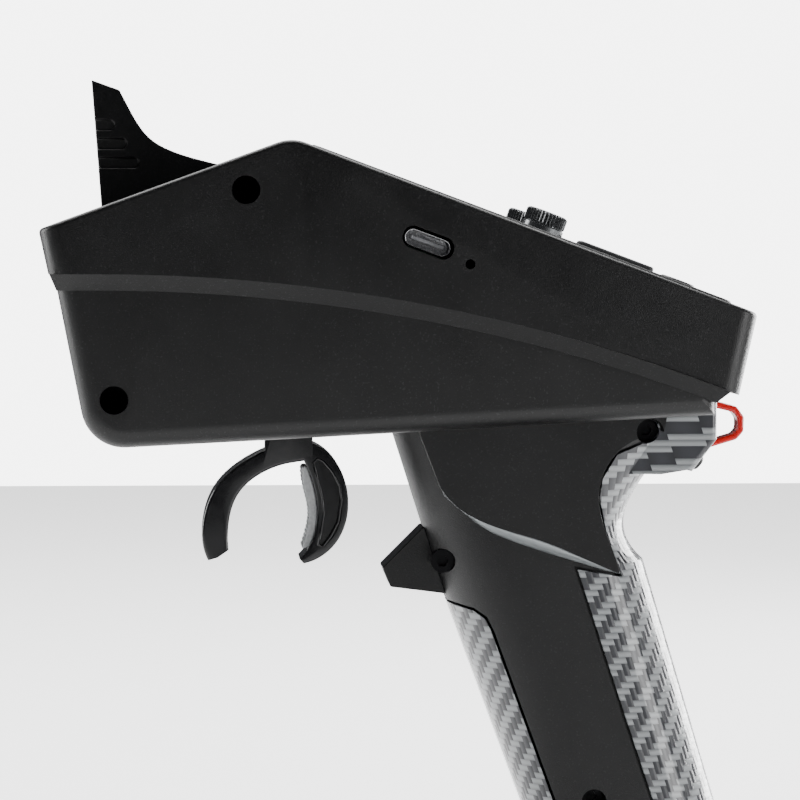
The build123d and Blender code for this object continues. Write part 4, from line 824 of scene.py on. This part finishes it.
strand = noise(tree, 6000, 2)
threads = maths("ADD", relief.outputs[0], maths("MULTIPLY", strand.outputs[0], 0.25))
fibre = tint(tree, over, (0.40, 0.42, 0.43), (0.05, 0.052, 0.06))
# The weave's relief darkens the colour where the tows dip under each other: painted shade between
# the tows.
painted_dip_shade = node(tree, "Mix", data_type="RGBA", blend_type="MULTIPLY")
painted_dip_shade.inputs[0].default_value = 0.6
tree.links.new(fibre, painted_dip_shade.inputs[6])
tree.links.new(tint(tree, relief.outputs[0], (0.35, 0.35, 0.36), (1, 1, 1)), painted_dip_shade.inputs[7])
tree.links.new(painted_dip_shade.outputs[2], shader.inputs["Base Color"])
gloss = maths("ADD", 0.22, maths("MULTIPLY", strand.outputs[0], 0.25))
tree.links.new(gloss, shader.inputs["Roughness"])
bump(tree, shader, threads, 0.00012)
for name in ("rear_grip_inlay", "front_grip_inlay"):
    rounded(name, weave, 0.2 * MM, angle=20)

woven_top = 113.1 * MM
tail = softened("tail_block", 0.5 * MM, 3)
bm = bmesh.new()
bm.from_mesh(tail.data)
everything = bm.faces[:] + bm.edges[:] + bm.verts[:]
bmesh.ops.bisect_plane(bm, geom=everything, plane_co=(0, 0, woven_top), plane_no=(0, 0, 1))
for face in bm.faces:
    face.material_index = 1 if face.calc_center_median().z > woven_top else 0
bm.to_mesh(tail.data)
bm.free()
seated(tail, "tail_block", [weave, plate_satin], ["tail_block"])

# ---- Lanyard loop -------------------------------------------------------------------------
# A glossy red moulded eye on the tail, keyed in behind the head, for a neck strap's hook.
loop_red, tree, shader = finish_of(
    "loop_red", (0.78, 0.010, 0.008), 0.2, coat=0.7, coat_roughness=0.06
)
flow = noise(tree, 120, 3)
uneven_tint(tree, shader, flow, (0.72, 0.008, 0.006), (0.84, 0.014, 0.010))
bump(tree, shader, noise(tree, 1500, 2).outputs[0], 0.000008)
rounded("lanyard_loop", loop_red, 0.4 * MM, segments=3)

# ---- Foot ---------------------------------------------------------------------------------
# A black moulded base with the battery bay, its sliding cover underneath, and rubber pads.
for name in ("foot_shell", "battery_cover"):
    rounded(name, housing, 0.3 * MM, segments=3)
rubber, tree, shader = finish_of("pad_black_rubber", (0.018, 0.018, 0.018), 0.85)
dust = noise(tree, 700, 4)
uneven_tint(tree, shader, dust, (0.013, 0.013, 0.013), (0.03, 0.03, 0.03))
bump(tree, shader, dust.outputs[0], 0.00003)
for name in ("foot_pads", "cover_pad"):
    painted(name, rubber)

# ---- Electronics and inside parts ---------------------------------------------------------
# Green boards with copper traces under the mask, black moulded switches, pots and sensor
# parts, white nylon carriers, a shrink-wrapped battery and its silicone leads.
mask_green, tree, shader = finish_of("solder_mask", (0.01, 0.12, 0.05), 0.3, coat=0.5)
place = node(tree, "TexCoord").outputs["Object"]
tracks = node(tree, "TexBrick", {"Vector": place}, Scale=260.0)
tracks.inputs["Color1"].default_value = (0.008, 0.10, 0.04, 1)
tracks.inputs["Color2"].default_value = (0.012, 0.13, 0.05, 1)
tracks.inputs["Mortar"].default_value = (0.02, 0.22, 0.08, 1)
tree.links.new(tracks.outputs["Color"], shader.inputs["Base Color"])
bump(tree, shader, tracks.outputs["Fac"], 0.00002)
part_black = moulded_black("part_black", (0.02, 0.02, 0.021), 0.5, 0.00002, 0.1)
nylon, tree, shader = finish_of("natural_nylon", (0.72, 0.71, 0.67), 0.45)
milky = noise(tree, 200, 3)
uneven_tint(tree, shader, milky, (0.68, 0.67, 0.62), (0.76, 0.75, 0.71))
shader.inputs["Subsurface Weight"].default_value = 0.05
magnet_nickel, tree, shader = finish_of("magnet_nickel", (0.58, 0.57, 0.55), 0.25, metallic=1.0)
plating = noise(tree, 900, 3)
uneven_gloss(tree, shader, plating, 0.18, 0.34)
wrap_blue, tree, shader = finish_of("battery_wrap", (0.02, 0.09, 0.32), 0.28, coat=0.4)
creases = noise(tree, 90, 5)
uneven_tint(tree, shader, creases, (0.016, 0.07, 0.28), (0.03, 0.11, 0.36))
bump(tree, shader, creases.outputs[0], 0.0002)
silicone, tree, shader = finish_of("lead_silicone", (0.05, 0.05, 0.052), 0.55)
matte = noise(tree, 600, 3)
uneven_gloss(tree, shader, matte, 0.45, 0.65)
inside = {
    "board_green": mask_green,
    "part_black": part_black,
    "nylon_white": nylon,
    "magnet": magnet_nickel,
    "battery_wrap": wrap_blue,
    "lead_jacket": silicone,
}
for name in nodes:
    if slot_of[name] in inside:
        painted(name, inside[slot_of[name]])
